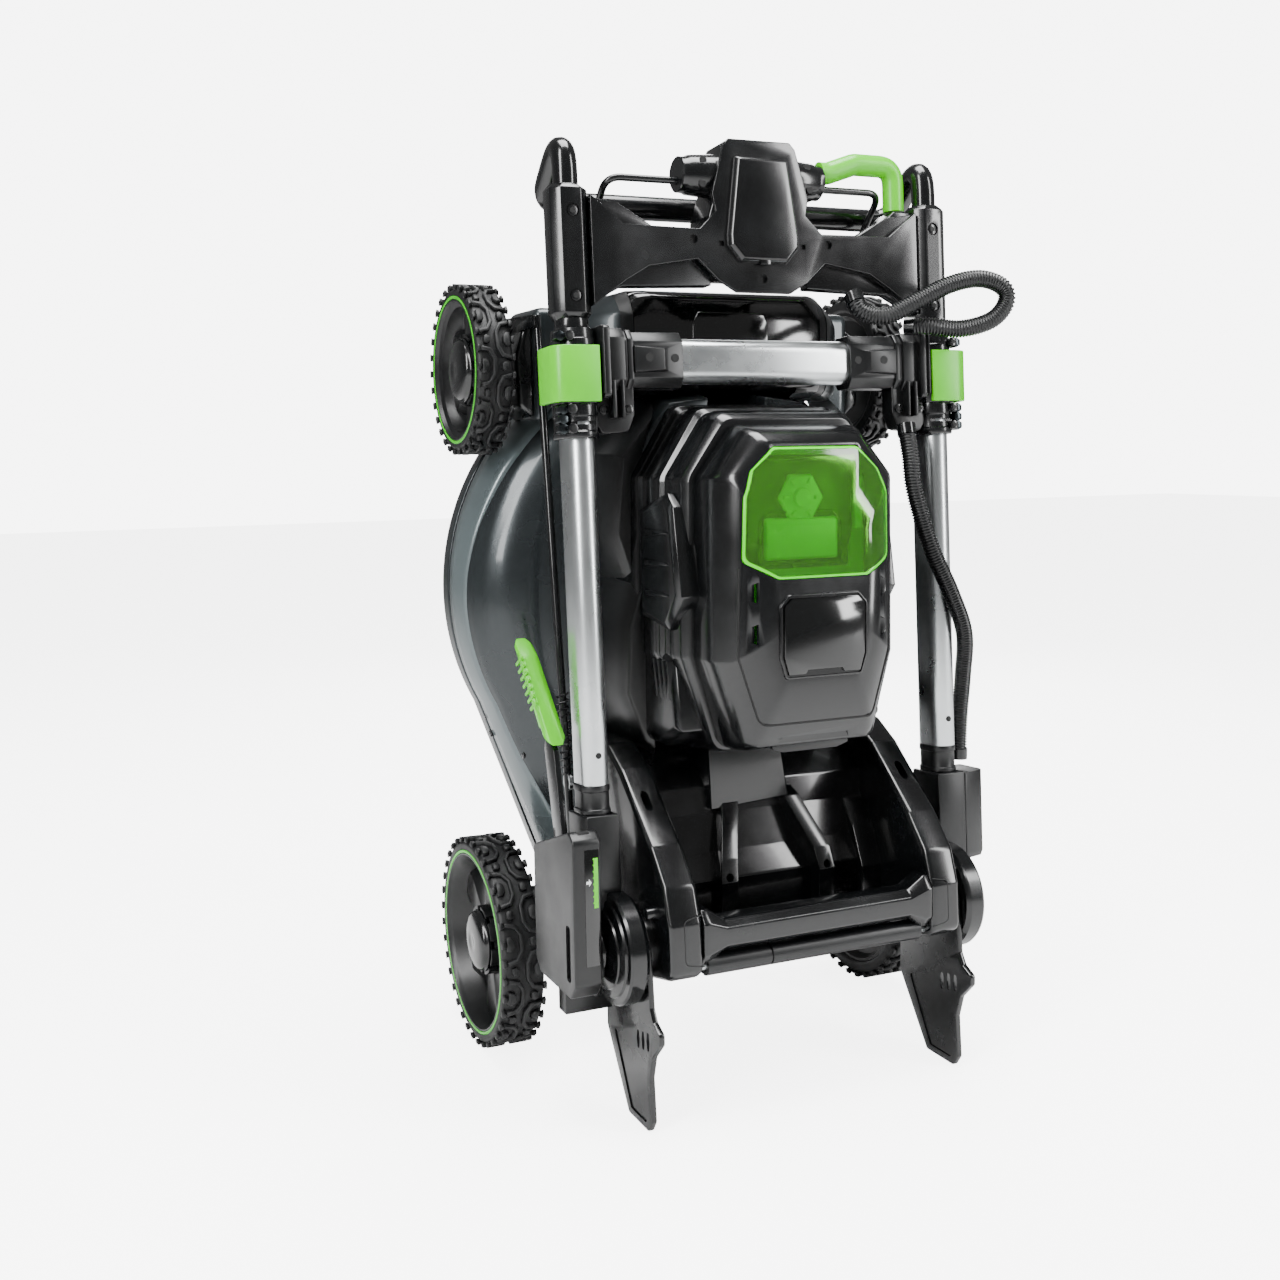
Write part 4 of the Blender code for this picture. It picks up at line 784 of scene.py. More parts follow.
@dataclass(frozen=True)
class Deck:
    """The pressed deck: rolled lip, lighter skirt band, crowned top and front apron."""

    radius: float = 0.262
    centre_z: float = 0.495
    skirt_y: float = 0.062
    lip_y: float = 0.0425
    top_y: float = -0.044
    wall: float = 0.0025
    tail_half: float = 0.165
    tail_z: float = 0.190
    foot: float = radians(-28)
    apron_half: float = 0.188
    apron_z: Span = (0.674, 0.792)
    section: tuple[Point, ...] = (          # (y, how far the wall has drawn in)
        (-0.044, 0.078), (-0.0425, 0.064), (-0.038, 0.049), (-0.030, 0.035), (-0.018, 0.0215),
        (-0.005, 0.012), (0.012, 0.0055), (0.030, 0.002), (0.050, 0.0004), (0.062, 0.0))
    band_edge: tuple[Point, ...] = (        # (z, y of the band's upper edge)
        (0.190, -0.020), (0.266, -0.011), (0.320, 0.0), (0.380, 0.004), (0.480, 0.004), (0.516, 0.002),
        (0.565, -0.004), (0.607, -0.009), (0.656, -0.013), (0.754, -0.016))

    def outline(self, inset: float, steps: int = 56) -> list[Point]:
        """The deck's plan: an arc round the blade that runs out into a tapered tail."""
        radius = self.radius - inset
        tail = Vector((self.tail_half - inset, self.tail_z + inset * 0.3))
        foot = Vector((radius * cos(self.foot), self.centre_z + radius * sin(self.foot)))
        half = [tuple(tail.lerp(foot, i / 6)) for i in range(6)]
        for i in range(steps):
            a = self.foot + (pi / 2 - self.foot) * i / steps
            half.append((radius * cos(a), self.centre_z + radius * sin(a)))
        return both_halves(half)

    def skin(self, shares: Sequence[float], top: bool = False) -> Form:
        """Part of the deck's wall, between shares of the way from the skirt to the top.

        Args:
            shares: 0 is the skirt's edge, 0.25 the lip's end, 0.5 the band's edge and 1 the top.
            top: Whether the flat top closes it.

        Returns:
            The open skin.
        """
        plans = {}

        def depth(share: float, z: float) -> float:
            """The skin's Y at a share of the way up, beside this Z."""
            edge = between(self.band_edge, z)
            return between([(0.0, self.skirt_y), (0.25, self.lip_y), (0.5, edge), (1.0, self.top_y)], share)

        base = self.outline(0.0)
        form = Form().loft("Y", [(share, base) for share in shares], 0.0, caps=(False, top))
        index = {(round(x, 6), round(z, 6)): i for i, (x, z) in enumerate(base)}
        for vert in form.mesh.verts:
            i = index[(round(vert.co.x, 6), round(vert.co.z, 6))]
            y = depth(vert.co.y, base[i][1])
            inset = round(between(self.section, y), 6)
            if inset not in plans:
                plans[inset] = self.outline(inset)
            x, z = plans[inset][i]
            vert.co = (x, y, z)
        bmesh.ops.recalc_face_normals(form.mesh, faces=form.mesh.faces)
        return form

    def apron(self) -> Form:
        """The box-shaped front, open below and where the round deck passes through it."""
        half, (low, high), wall = self.apron_half, self.apron_z, self.wall
        form = Form().block((-half, half), (self.top_y, 0.045), (low, high), 0.010, 4)
        form.carve(Form().block((wall - half, half - wall), (self.top_y + wall, 0.1), (0.60, high - wall),
                                0.008, 3))
        return form.carve(Form().plate("Y", self.outline(self.wall), self.top_y - 0.01, 0.1, 0.0))

    def build(self) -> None:
        """Builds the deck on the chassis."""
        upper = [0.5 + 0.5 * (1 - cos(pi / 2 * i / 16)) for i in range(16)] + [0.97, 1.0]
        self.skin(sorted(set(upper)), top=True).piece(
            "deck_crown", DECK_COAT, "chassis", "deck_shell", wall=self.wall, sharp=60)
        self.skin([0.27, 0.33, 0.39, 0.45, 0.5]).piece("deck_skirt_band", BAND_COAT, "chassis",
                                                       wall=self.wall)
        self.skin([0.02, 0.08, 0.14, 0.20, 0.245]).piece("deck_lip", DECK_COAT, "chassis", wall=self.wall)
        bead = [Vector((x, self.skirt_y - 0.0026, z)) for x, z in self.outline(0.0026)]
        Form().tube(bead, 0.0025).piece("deck_rolled_edge", DECK_COAT, "chassis")
        groove = [Vector((x, self.lip_y, z)) for x, z in self.outline(0.0022)]
        Form().tube(groove, 0.0016).piece("deck_band_groove", BLACK_COAT, "chassis")
        self.apron().piece("deck_apron", DECK_COAT, "chassis")
        cheek = mm((-36, 300), (-36, 150), (-18, 138), (20, 138), (34, 160), (34, 300))
        Form().plate("X", cheek, 0.155, 0.161).both().piece("deck_cheeks", DECK_COAT, "chassis")
        self.screws()

    def screws(self) -> None:
        """The screws through the skirt, and the gussets by the front wheels."""
        heads = Form()
        for x, y, z in mm((196.5, -5, 318), (216.5, 45, 335), (222.5, 45, 356)):
            heads.add(Form().rod("X", (y, z), 0.0050, x, x + 0.0042, 24).rod("X", (y, z), 0.0026, x,
                                                                             x + 0.0048, 6))
        heads.both().piece("deck_screws", BLACK_COAT, "chassis")
        corner = mm((186, 676), (206, 690), (209, 742), (200, 772), (186, 778))
        plates = Form().loft("Y", [(-0.036, offset(corner, 0.002)), (0.030, corner)], 0.004, 3)
        plates.both().piece("front_corner_plates", BLACK_COAT, "chassis")


@dataclass(frozen=True)
class Nose:
    """The glossy front cover, with a grey panel at each end."""

    rings: tuple[tuple[float, ...], ...] = (     # y, half width, low z, high z, corner
        (-0.0443, 0.168, 0.695, 0.791, 0.020), (-0.060, 0.160, 0.696, 0.797, 0.023),
        (-0.078, 0.149, 0.697, 0.802, 0.025), (-0.094, 0.137, 0.699, 0.8055, 0.026),
        (-0.106, 0.125, 0.702, 0.8045, 0.026), (-0.114, 0.113, 0.706, 0.800, 0.024),
        (-0.117, 0.104, 0.711, 0.795, 0.022))
    wall: float = 0.003
    split_x: float = 0.108
    stripe: float = 0.012

    def shell(self) -> Form:
        """The whole cover, open below."""
        def ring(y: float, half: float, low: float, high: float, corner: float, inset: float = 0.0) -> tuple:
            """One outline of the cover."""
            right = [(half - inset, low + inset), (half - inset, high - corner),
                     (half - corner, high - inset)]
            return (y, softened(right, 0.018, 5))

        form = Form().loft("Y", [ring(*sizes) for sizes in self.rings], 0.004, 3, angle=35)
        hollow = [(-0.03, *self.rings[0][1:]), *[(y + self.wall, *rest) for y, *rest in self.rings[1:]]]
        return form.carve(Form().loft("Y", [ring(*sizes, inset=self.wall) for sizes in hollow], 0.0))

    def part(self, low: float, high: float, grow: float = 0.0) -> Form:
        """The stretch of the cover between two places on X."""
        form = self.shell().carve(Form().block((low, high), (-0.2, 0.0), (0.6, 0.9), 0.0), "INTERSECT")
        return form.move((0, grow, 0))

    def build(self) -> None:
        """Builds the cover on the chassis."""
        gap, outer = 0.0004, self.split_x + self.stripe
        self.part(-self.split_x, self.split_x).piece("nose_gloss_cover", GLOSS_ABS, "chassis", "nose_cover")
        for side in Side:
            low, high = sorted((side.value * (self.split_x + gap), side.value * (outer - gap)))
            self.part(low, high, 0.0008).piece(f"nose_stripe_{side.word}", NYLON, "chassis")
            low, high = sorted((side.value * outer, side.value * 0.2))
            self.part(low, high).piece(f"nose_end_{side.word}", DECK_COAT, "chassis")
        plate = softened(mm((34, 716), (44, 730), (44, 772), (38, 784)), 0.004)
        Form().loft("Y", [(-0.1166, plate), (-0.1178, offset(plate, 0.001))], 0.0004).piece(
            "nose_plain_badge", GLOSS_ABS, "chassis")


# ---------------------------------------------------------------- motor housing

@dataclass(frozen=True)
class MotorHousing:
    """The ridged base, the crowned cover, the clear battery lid, and the cowl beside them."""

    split_y: float = -0.235
    edge_y: float = -0.283
    face_y: float = -0.3035
    crown: float = 0.45           # share of the plan that the crown draws in
    centre_z: float = 0.505
    wall: float = 0.003
    lid_gap: float = 0.0008
    steps: tuple[Point, ...] = (  # (y, growth of the plan) of the base's ridges, from the deck up
        (-0.0443, 0.0400), (-0.100, 0.0385), (-0.146, 0.0350), (-0.150, 0.0300), (-0.168, 0.0290),
        (-0.171, 0.0335), (-0.190, 0.0315), (-0.194, 0.0262), (-0.207, 0.0250), (-0.210, 0.0285),
        (-0.227, 0.0255), (-0.2347, 0.0200))

    def plan(self, grow: float, drawn_in: float = 0.0, radius: float = 0.012) -> list[Point]:
        """The housing's eight-sided plan with rounded corners, grown, or drawn in to its middle."""
        half = [(0.0675 + 0.6 * grow, 0.362 - 0.5 * grow), (0.088 + grow, 0.445),
                (0.086 + grow, 0.618), (0.053 + 0.7 * grow, 0.653 + grow)]
        share = 1 - drawn_in
        return softened([(x * share, self.centre_z + (z - self.centre_z) * share) for x, z in half],
                        radius * share)

    def crown_y(self, x: float, z: float) -> float:
        """The crowned front's Y at a place in the plan."""
        corners = both_halves([(0.0675, 0.362), (0.088, 0.445), (0.086, 0.618), (0.053, 0.653)])
        spot, share = Vector((x, z - self.centre_z)), 0.0
        for a, b in zip(corners, corners[1:] + corners[:1]):
            a, b = Vector((a[0], a[1] - self.centre_z)), Vector((b[0], b[1] - self.centre_z))
            normal = Vector((b.y - a.y, a.x - b.x))
            share = max(share, spot.dot(normal) / a.dot(normal))
        drawn = min(max((1 - share) / self.crown, 0.0), 1.0)
        return self.edge_y + (self.face_y - self.edge_y) * sin(drawn * pi / 2) ** 0.9

    def skin(self, inset: float = 0.0) -> Form:
        """The closed solid under the cover's surface, less an even inset."""
        rings = [(self.split_y - TOUCH + 4 * inset, self.plan(0.014 - inset)),
                 (-0.250, self.plan(0.0135 - inset)), (-0.262 + inset * 0.3, self.plan(0.0115 - inset)),
                 (-0.2745 + inset * 0.6, self.plan(0.0062 - inset)),
                 (self.edge_y + inset, self.plan(-0.0008 - inset))]
        for drawn in (0.06, 0.12, 0.18, 0.24, 0.30, 0.36, 0.42, self.crown):
            y = self.edge_y + (self.face_y - self.edge_y) * sin(drawn / self.crown * pi / 2) ** 0.9
            rings.append((y + inset, self.plan(-inset, drawn)))
        return Form().loft("Y", rings, 0.0)

    def window(self, inset: float = 0.0) -> list[Point]:
        """The battery window, with its lower corners cut off."""
        return softened([
            (0.0485 - 0.5 * inset, 0.523 + inset), (0.080 - inset, 0.539 + inset), (0.0785 - inset, 0.600),
            (0.070 - inset, 0.624), (0.046 - 0.5 * inset, 0.6465 - inset)], 0.008)

    def on_crown(self, points: Sequence[Point], lift: float = 0.0) -> list[Vector]:
        """Points of the plan, laid on the crowned front."""
        return [Vector((x, self.crown_y(x, z) - lift, z)) for x, z in points]

    def cover(self) -> Form:
        """The cover with its window, notches and latch notch."""
        form = self.skin().carve(self.skin(self.wall)).carve(Form().plate("Y", self.window(), -0.40, -0.15,
                                                                          0.0))
        for sign in (1, -1):
            for z in (0.5115, 0.4725):
                notch = [(sign * x, h) for x, h in mm((67, 9), (79, 5), (79, -5), (67, -9))]
                notch = [(x, z + h) for x, h in notch]
                y = self.crown_y(0.073, z) + 0.0018
                form.carve(Form().loft("Y", [(-0.33, offset(notch, -0.006)), (y, notch)], 0.0))
        latch = both_halves(mm((33, 352), (40, 364), (36, 371)))
        return form.carve(Form().plate("Y", latch, -0.33, -0.2845, 0.0))

    def seam(self) -> Form:
        """The dark U-shaped joint line round the face, below the window."""
        path = flat(rounded(mm((-82, 534), (-83, 450), (-62, 385), (62, 385), (83, 450), (82, 534)), 0.012,
                            6))
        dense = [Vector(a).lerp(Vector(b), k / 4) for a,
                 b in zip(path, path[1:]) for k in range(4)] + [Vector(path[-1])]
        return Form().tube(self.on_crown(flat(dense), -0.0002), 0.0011)

    def badge(self) -> None:
        """The raised hexagonal frame and the plain glossy plate in it."""
        plate = flat(rounded(both_halves(mm((37, 507), (45.5, 498), (45.5, 449), (40, 431)))[::-1], 0.0025, 2,
                             closed=True))
        notched = both_halves(mm((36, 505.5), (44, 497.5), (44, 450), (39, 433), (21, 433), (18.5, 437)))
        outer = offset(plate, -0.0030)
        frame_form = Form().loft("Y", [(-0.2960, offset(outer, -0.001)), (-0.3062, offset(outer, 0.0012))],
                                 0.0010, 3)
        frame_form.carve(Form().plate("Y", plate, -0.32, -0.3046, 0.0))
        frame_form.piece("badge_frame", SMOOTH_NYLON, "chassis")
        Form().loft("Y", [(-0.3040, notched), (-0.3072, offset(notched, 0.0004))], 0.0005, 2).piece(
            "plain_badge_plate", GLOSS_ABS, "chassis")

    def base(self) -> Form:
        """The ridged base wall, open to the deck."""
        outer = [(y, self.plan(grow, radius=0.016)) for y, grow in self.steps]
        inner = [(-0.030, self.plan(0.036)), (-0.150, self.plan(0.0265)), (-0.205, self.plan(0.021)),
                 (-0.230, self.plan(0.012)), (-0.25, self.plan(0.010))]
        return Form().loft("Y", outer, 0.0012, 2, angle=20).carve(Form().loft("Y", inner, 0.0))

    def pods(self) -> Form:
        """The raised side pods, the louvred panels below them and the stepped lower contour."""
        form = Form()
        pod = mm((-150, 587), (-213, 604), (-228, 590), (-244, 505), (-217, 471), (-152, 479))
        form.loft("X", [(0.098, pod), (0.1195, pod), (0.1235, offset(pod, 0.007))], 0.0016, 3)
        for k in range(3):
            z = 0.505 + 0.030 * k
            rib = mm((-170, -7), (-205, -3), (-222, -1), (-222, 3), (-205, 4), (-170, 6))
            form.loft("X", [(0.122, [(y, z + h) for y, h in rib]),
                            (0.1252, [(y, z + h * 0.4) for y, h in rib])], 0.0006)
        step = mm((-140, 470), (-192, 452), (-214, 440), (-226, 372), (-190, 352), (-140, 352))
        form.loft("X", [(0.070, step), (0.1120, step), (0.1165, offset(step, 0.008))], 0.0020, 3)
        return form

    def louvres(self) -> Form:
        """Four slim vent fins down each side, below the pod."""
        form = Form()
        for k in range(4):
            y = -0.178 - 0.0105 * k
            form.loft("Z", [(0.372, [(0.088, y - 0.001), (0.1135, y - 0.001), (0.1135, y + 0.0035),
                                     (0.088, y + 0.0035)]),
                            (0.440, [(0.092, y - 0.001), (0.1205, y - 0.001), (0.1205, y + 0.0035),
                                     (0.092, y + 0.0035)])], 0.0008)
        return form

    def cowl(self) -> None:
        """The grey cowl whose tip stands above the housing, and its black wings."""
        top = mm((30, 700), (78, 694), (104, 664), (118, 628), (104, 612), (70, 664), (30, 682))
        Form().loft("Y", [(-0.0443, offset(top, -0.010)), (-0.112, top), (-0.131, offset(top, 0.003))],
                    0.0025, 3).both().piece("cowl_grey", DECK_COAT, "chassis")
        wing = mm((90, 690), (134, 640), (141, 560), (128, 520), (112, 500), (112, 610), (96, 668))
        Form().loft("Y", [(-0.0443, offset(wing, -0.008)), (-0.118, wing), (-0.132, offset(wing, 0.005))],
                    0.0030, 3).both().piece("cowl_wings", NYLON, "chassis")
        flank = mm((120, 520), (138, 470), (142, 400), (122, 345), (100, 330), (100, 500))
        Form().loft("Y", [(-0.0443, offset(flank, -0.008)), (-0.132, flank), (-0.150, offset(flank, 0.006))],
                    0.0030, 3).both().piece("cowl_flanks", NYLON, "chassis")

    def build(self) -> None:
        """Builds the housing on the chassis."""
        cover = self.cover().smooth_edges(0.0010, 2, 30)
        cover.piece("motor_cover_shell", SMOOTH_NYLON, "chassis", "motor_cover", sharp=35)
        self.seam().piece("cover_seam", HOLLOW, "chassis")
        self.badge()
        self.base().piece("motor_base_ridged", SMOOTH_NYLON, "chassis", "motor_base", sharp=35)
        self.pods().both().piece("side_pods", SMOOTH_NYLON, "chassis")
        self.louvres().both().piece("vent_fins", NYLON, "chassis")
        lip = both_halves(mm((30, 354), (42, 358), (42, 366), (36, 368)))
        Form().plate("Y", lip, -0.2795, -0.262, 0.0010).piece("cover_latch_lip", NYLON, "chassis")
        self.cowl()
        self.lid()
        self.bay()

    def lid(self) -> None:
        """The clear lid with its bright frame."""
        pane, rim = self.window(self.lid_gap + 0.0024), self.window(self.lid_gap)
        skin = self.skin().carve(self.skin(self.wall))
        copy = Form().add(skin)
        copy.carve(Form().plate("Y", pane, -0.40, -0.15, 0.0), "INTERSECT")
        copy.piece("lid_pane", CLEAR_GREEN, "battery_lid", "battery_lid")
        skin.carve(Form().plate("Y", rim, -0.40, -0.15, 0.0), "INTERSECT")
        skin.carve(Form().plate("Y", offset(pane, -0.0002), -0.50, -0.10, 0.0))
        skin.smooth_edges(0.0006, 2, 40).piece("lid_frame", GREEN_EDGE, "battery_lid")

    def bay(self) -> None:
        """The battery bay: pale liner, pack with its plate and button, and the release."""
        low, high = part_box("battery_pack")
        low, high = low - Vector((0, STAND_Y, 0)), high - Vector((0, STAND_Y, 0))
        half = high.x
        side = [(low.y + 0.012, low.z), (high.y, low.z), (high.y, high.z), (low.y + 0.006, high.z),
                (low.y, high.z - 0.020), (low.y, low.z + 0.030)]
        Form().plate("X", side, -half, half, 0.004, 4).piece("battery_case", NYLON, "battery", "battery_pack")
        hexagon = circle((0.0, 0.5975), 0.0260, 6)
        plate = Form().loft("Y", [(low.y + 0.003, hexagon), (low.y - 0.0030, offset(hexagon, 0.002))], 0.0012,
                            3)
        plate.rod("Y", (0.0, 0.5975), 0.0098, low.y - 0.0030, low.y - 0.0072, 40, tip=0.0088, bevel=0.001)
        for angle in (0, 60, 120, 180, 240, 300):
            rib = Form().block((-0.0020, 0.0020), (low.y - 0.0050, low.y - 0.002), (0.0140, 0.0205))
            plate.add(rib.turn("Y", radians(angle + 30)).move((0, 0, 0.5975)))
        plate.piece("battery_hex_plate", LIME, "battery")
        arch = flat(rounded(mm((-47, 534), (-44, 575), (-36, 584), (36, 584), (44, 575), (47, 534)), 0.008,
                            5))
        Form().tube([Vector((x, low.y - 0.0008, z)) for x, z in arch], 0.0013).piece(
            "battery_arch_line", BLACK_COAT, "battery")
        Form().block((-0.040, 0.040), (low.y - 0.0045, low.y + 0.003), (0.538, 0.578), 0.003, 3).piece(
            "battery_grip_panel", LIME, "battery")
        liner = self.plan(-0.006)
        Form().plate("Y", liner, -0.2440, -0.2410, 0.0005).carve(
            Form().block((-0.0645, 0.0645), (-0.4, -0.1), (0.528, 0.639), 0.0)).piece("bay_liner", LIME,
                                                                                      "chassis")
        low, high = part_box("battery_release")
        Form().block((low.x, high.x), (low.y - STAND_Y, high.y - STAND_Y), (low.z, high.z), 0.0015, 3).piece(
            "battery_release_button", LIME, "battery_release", "battery_release")


# ---------------------------------------------------------------- screws

def socket_screws(spots: Sequence[Sequence[float]], radius: float, name: str, body: str,
                  space: Space) -> None:
    """Adds socket-head screws that face the front, with their dark sockets.

    Args:
        spots: Each head's X, front Y and Z.
        radius: The head's radius.
        name: The start of the two pieces' names.
        body: The CAD body that they move with.
        space: The frame that the spots are in.
    """
    heads, sockets = Form(), Form()
    for x, y, z in spots:
        heads.add(Form().rod("Y", (x, z), radius, y, y + 0.006, 24, bevel=0.0005))
        sockets.add(Form().rod("Y", (x, z), radius * 0.55, y - 0.0002, y + 0.001, 6, bevel=0.0))
    heads.piece(f"{name}_heads", BLACK_COAT, body, space=space)
    sockets.piece(f"{name}_sockets", HOLLOW, body, space=space)


# ---------------------------------------------------------------- tail

@dataclass(frozen=True)
class Tail:
    """The moulded tail with its arms and recess, the grab bar, the legs and the door."""

    arm_x: Span = (0.128, 0.1625)
    arm: tuple[Point, ...] = (              # (y, z) in mm
        (-60, 170), (-160, 170), (-205, 150), (-250, 140), (-292, 150), (-303, 158), (-300, 205), (-288, 238),
        (-257, 272), (-185, 332), (-150, 352), (-60, 352))
    leg: tuple[Point, ...] = (
        (-231.5, 0), (-279, 0), (-287, 12), (-283, 55), (-290, 78), (-307.5, 96), (-307.5, 106), (-293, 113),
        (-286, 124), (-280, 180), (-262, 205), (-216, 205), (-196, 180), (-180, 128), (-180, 72))
    bar: tuple[Point, ...] = ((-1, -0.55), (-0.45, -1), (0.7, -1), (1, 0), (0.7, 1), (-0.45, 1), (-1, 0.55))
    bar_centre: Point = (-0.286, 0.1885)

    def arms(self) -> Form:
        """The right arm: smooth faces, an oval hole in its shoulder, a boss for the handle and a peg."""
        low, high = self.arm_x
        form = Form().plate("X", flat(rounded(mm(*self.arm), 0.016, 6, closed=True)), low, high, 0.0055, 4)
        form.carve(Form().plate("Y", oval((0.147, 0.306), 0.0085, 0.016), -0.30, -0.195, 0.0))
        form.rod("X", (-0.239, 0.172), 0.030, high - 0.004, 0.1717, 48)
        form.rod("X", (-0.272, 0.212), 0.0060, high - 0.004, 0.1745, 24, tip=0.0052)
        return form

    def chute(self) -> Form:
        """The chute with its front panel and sloping ledge, open below."""
        side = mm((-44.5, 160), (-196, 156), (-200, 160), (-201, 212), (-184, 236), (-168, 272), (-164, 300),
                  (-130, 338), (-44.5, 338))
        hollow = mm((0, 100), (-160, 100), (-160, 250), (-126, 333), (0, 333))
        form = Form().plate("X", flat(rounded(side, 0.006, 4, closed=True)), -0.129, 0.129, 0.0015)
        return form.carve(Form().plate("X", hollow, -0.121, 0.121, 0.0))

    def recess(self) -> Form:
        """The box below the motor and the two sheared ridges with their screw bosses."""
        form = Form().plate("Y", mm((-58, 277), (33, 283), (22, 346), (-60, 346)), -0.178, -0.120, 0.0018, 3)
        nose = mm((-150, 160), (-212, 160), (-216, 172), (-218, 212), (-211, 234), (-178, 284), (-150, 300))
        ridge = Form().plate("X", flat(rounded(nose, 0.007, 5, closed=True)), 0.047, 0.066, 0.0030, 3)
        ridge.carve(Form().rod("Y", (0.0565, 0.2165), 0.0042, -0.24, -0.207, 24, bevel=0.0))
        ridge.shape(lambda p: Vector((p.x - max(0.0, p.z - 0.225) * 0.35, p.y, p.z)))
        form.add(ridge.both())
        inner = mm((-150, 165), (-207, 165), (-209, 205), (-190, 246), (-160, 280), (-150, 282))
        flank = Form().plate("X", flat(rounded(inner, 0.006, 4, closed=True)), 0.104, 0.130, 0.0040, 3)
        return form.add(flank.both())

    def panel_line(self) -> Form:
        """The joint line round the bar's end on the right arm's front."""
        path = flat(rounded(mm((128.4, 213), (147.5, 209), (147.5, 167), (128.4, 163.5)), 0.006, 5))
        return Form().tube([Vector((x, -0.2997 - max(0.0, 0.205 - z) * 0.064, z)) for x, z in path], 0.0006)

    def grab_bar(self) -> Form:
        """The six-sided bar that flares into the arms."""
        def ring(grow: float) -> list[Point]:
            """The bar's section, with more height."""
            return [(self.bar_centre[0] + a * 0.0165, self.bar_centre[1] + b * (0.0155 + grow)) for a,
                    b in self.bar]

        stations = ((-0.1277, 0.0115), (-0.1215, 0.0115), (-0.103, 0.0), (0.103, 0.0), (0.1215, 0.0115),
                    (0.1277, 0.0115))
        return Form().loft("X", [(x, ring(grow)) for x, grow in stations], 0.0016, 3, angle=12)

    def leg_plate(self) -> Form:
        """The right storage leg: pressed plate, raised edge, three slots and a hook."""
        form = Form().plate("X", flat(rounded(mm(*self.leg), 0.0045, 4, closed=True)), 0.172, 0.178, 0.0010)
        dish = flat(rounded(mm((-238, 7), (-274, 7), (-280, 15), (-276, 52), (-264, 66), (-236, 70),
                               (-197, 76)),
                            0.004, 4, closed=True))
        for low, high in ((0.1768, 0.19), (0.16, 0.1732)):
            form.carve(Form().plate("X", dish, low, high, 0.0))
        for i in range(3):
            y, z = -0.258 - 0.0115 * i, 0.085 + 0.0025 * i
            form.carve(Form().plate("X", flat(rounded(
                [(y - 0.002, z - 0.009), (y + 0.002, z - 0.009), (y + 0.0035, z), (y + 0.002, z + 0.009),
                 (y - 0.002, z + 0.009), (y - 0.0035, z)], 0.0015, 2, closed=True)), 0.16, 0.19, 0.0))
        return form

    def door(self) -> Form:
        """The discharge door: split barrel, plate and stiffening ribs."""
        form = Form().lathe((-0.285, 0.158), [
            (0.0055, -0.12), (0.0104, -0.12), (0.0104, -0.0522), (0.0092, -0.0517), (0.0092, -0.0503),
            (0.0104, -0.0498), (0.0104, 0.12), (0.0055, 0.12)], 40)
        form.block((-0.12, 0.12), (-0.285, -0.032), (0.1476, 0.1514), 0.001)
        for i in range(7):
            x = -0.105 + 0.035 * i
            form.block((x - 0.0012, x + 0.0012), (-0.262, -0.050), (0.1435, 0.1480), 0.0005)
        return form

    def build(self) -> None:
        """Builds the tail on the chassis and the door on its hinge."""
        self.chute().piece("tail_chute", SMOOTH_NYLON, "chassis", "rear_housing", sharp=35)
        self.arms().both().piece("tail_arms", SMOOTH_NYLON, "chassis", sharp=35)
        self.recess().piece("tail_recess", SMOOTH_NYLON, "chassis", sharp=35)
        self.panel_line().both().piece("tail_panel_lines", HOLLOW, "chassis")
        self.grab_bar().piece("grab_bar_flared", SMOOTH_NYLON, "chassis", "grab_bar", sharp=30)
        for side in Side:
            self.leg_plate().on(side).piece(f"storage_leg_{side.word}", BLACK_COAT, "chassis",
                                            f"leg_{side.word}")
        self.door().piece("discharge_door", NYLON, "rear_door", "rear_door")


@dataclass(frozen=True)
class Underside:
    """The axles and the cutting drive, whose CAD shapes get rounded edges."""

    parts: tuple[tuple[str, str, str, float], ...] = (        # node, body, finish, rounding
        ("rear_axle", "rear_axle", "coat", 0.0012), ("front_axle", "front_axle", "coat", 0.0012),
        ("drive_unit", "chassis", "nylon", 0.0015), ("motor_can", "chassis", "cast", 0.003),
        ("motor_shaft", "blade_rotor", "zinc", 0.0006), ("blade", "blade_rotor", "ground", 0.0008),
        ("blade_bolt", "blade_rotor", "zinc", 0.0006), ("door_rod", "chassis", "zinc", 0.0006))

    def build(self) -> None:
        """Builds each part, with cooling fins on the motor."""
        finishes = {"coat": BLACK_COAT, "nylon": NYLON, "cast": MOTOR, "zinc": ZINC, "ground": BLADE_STEEL}
        for node, body, finish, bevel in self.parts:
            form = Form().node(node, bevel)
            if node == "motor_can":
                low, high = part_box(node)
                for i in range(24):
                    fin = Form().block((0.0620, 0.0668), (low.y + 0.008, high.y - 0.012), (-0.0011, 0.0011),
                                       0.0005)
                    form.add(fin.turn("Y", 2 * pi * i / 24).move((0, 0, (low.z + high.z) / 2)))
            form.piece(f"{node}_finished", finishes[finish], body, node, space=None)


# ---------------------------------------------------------------- height adjuster

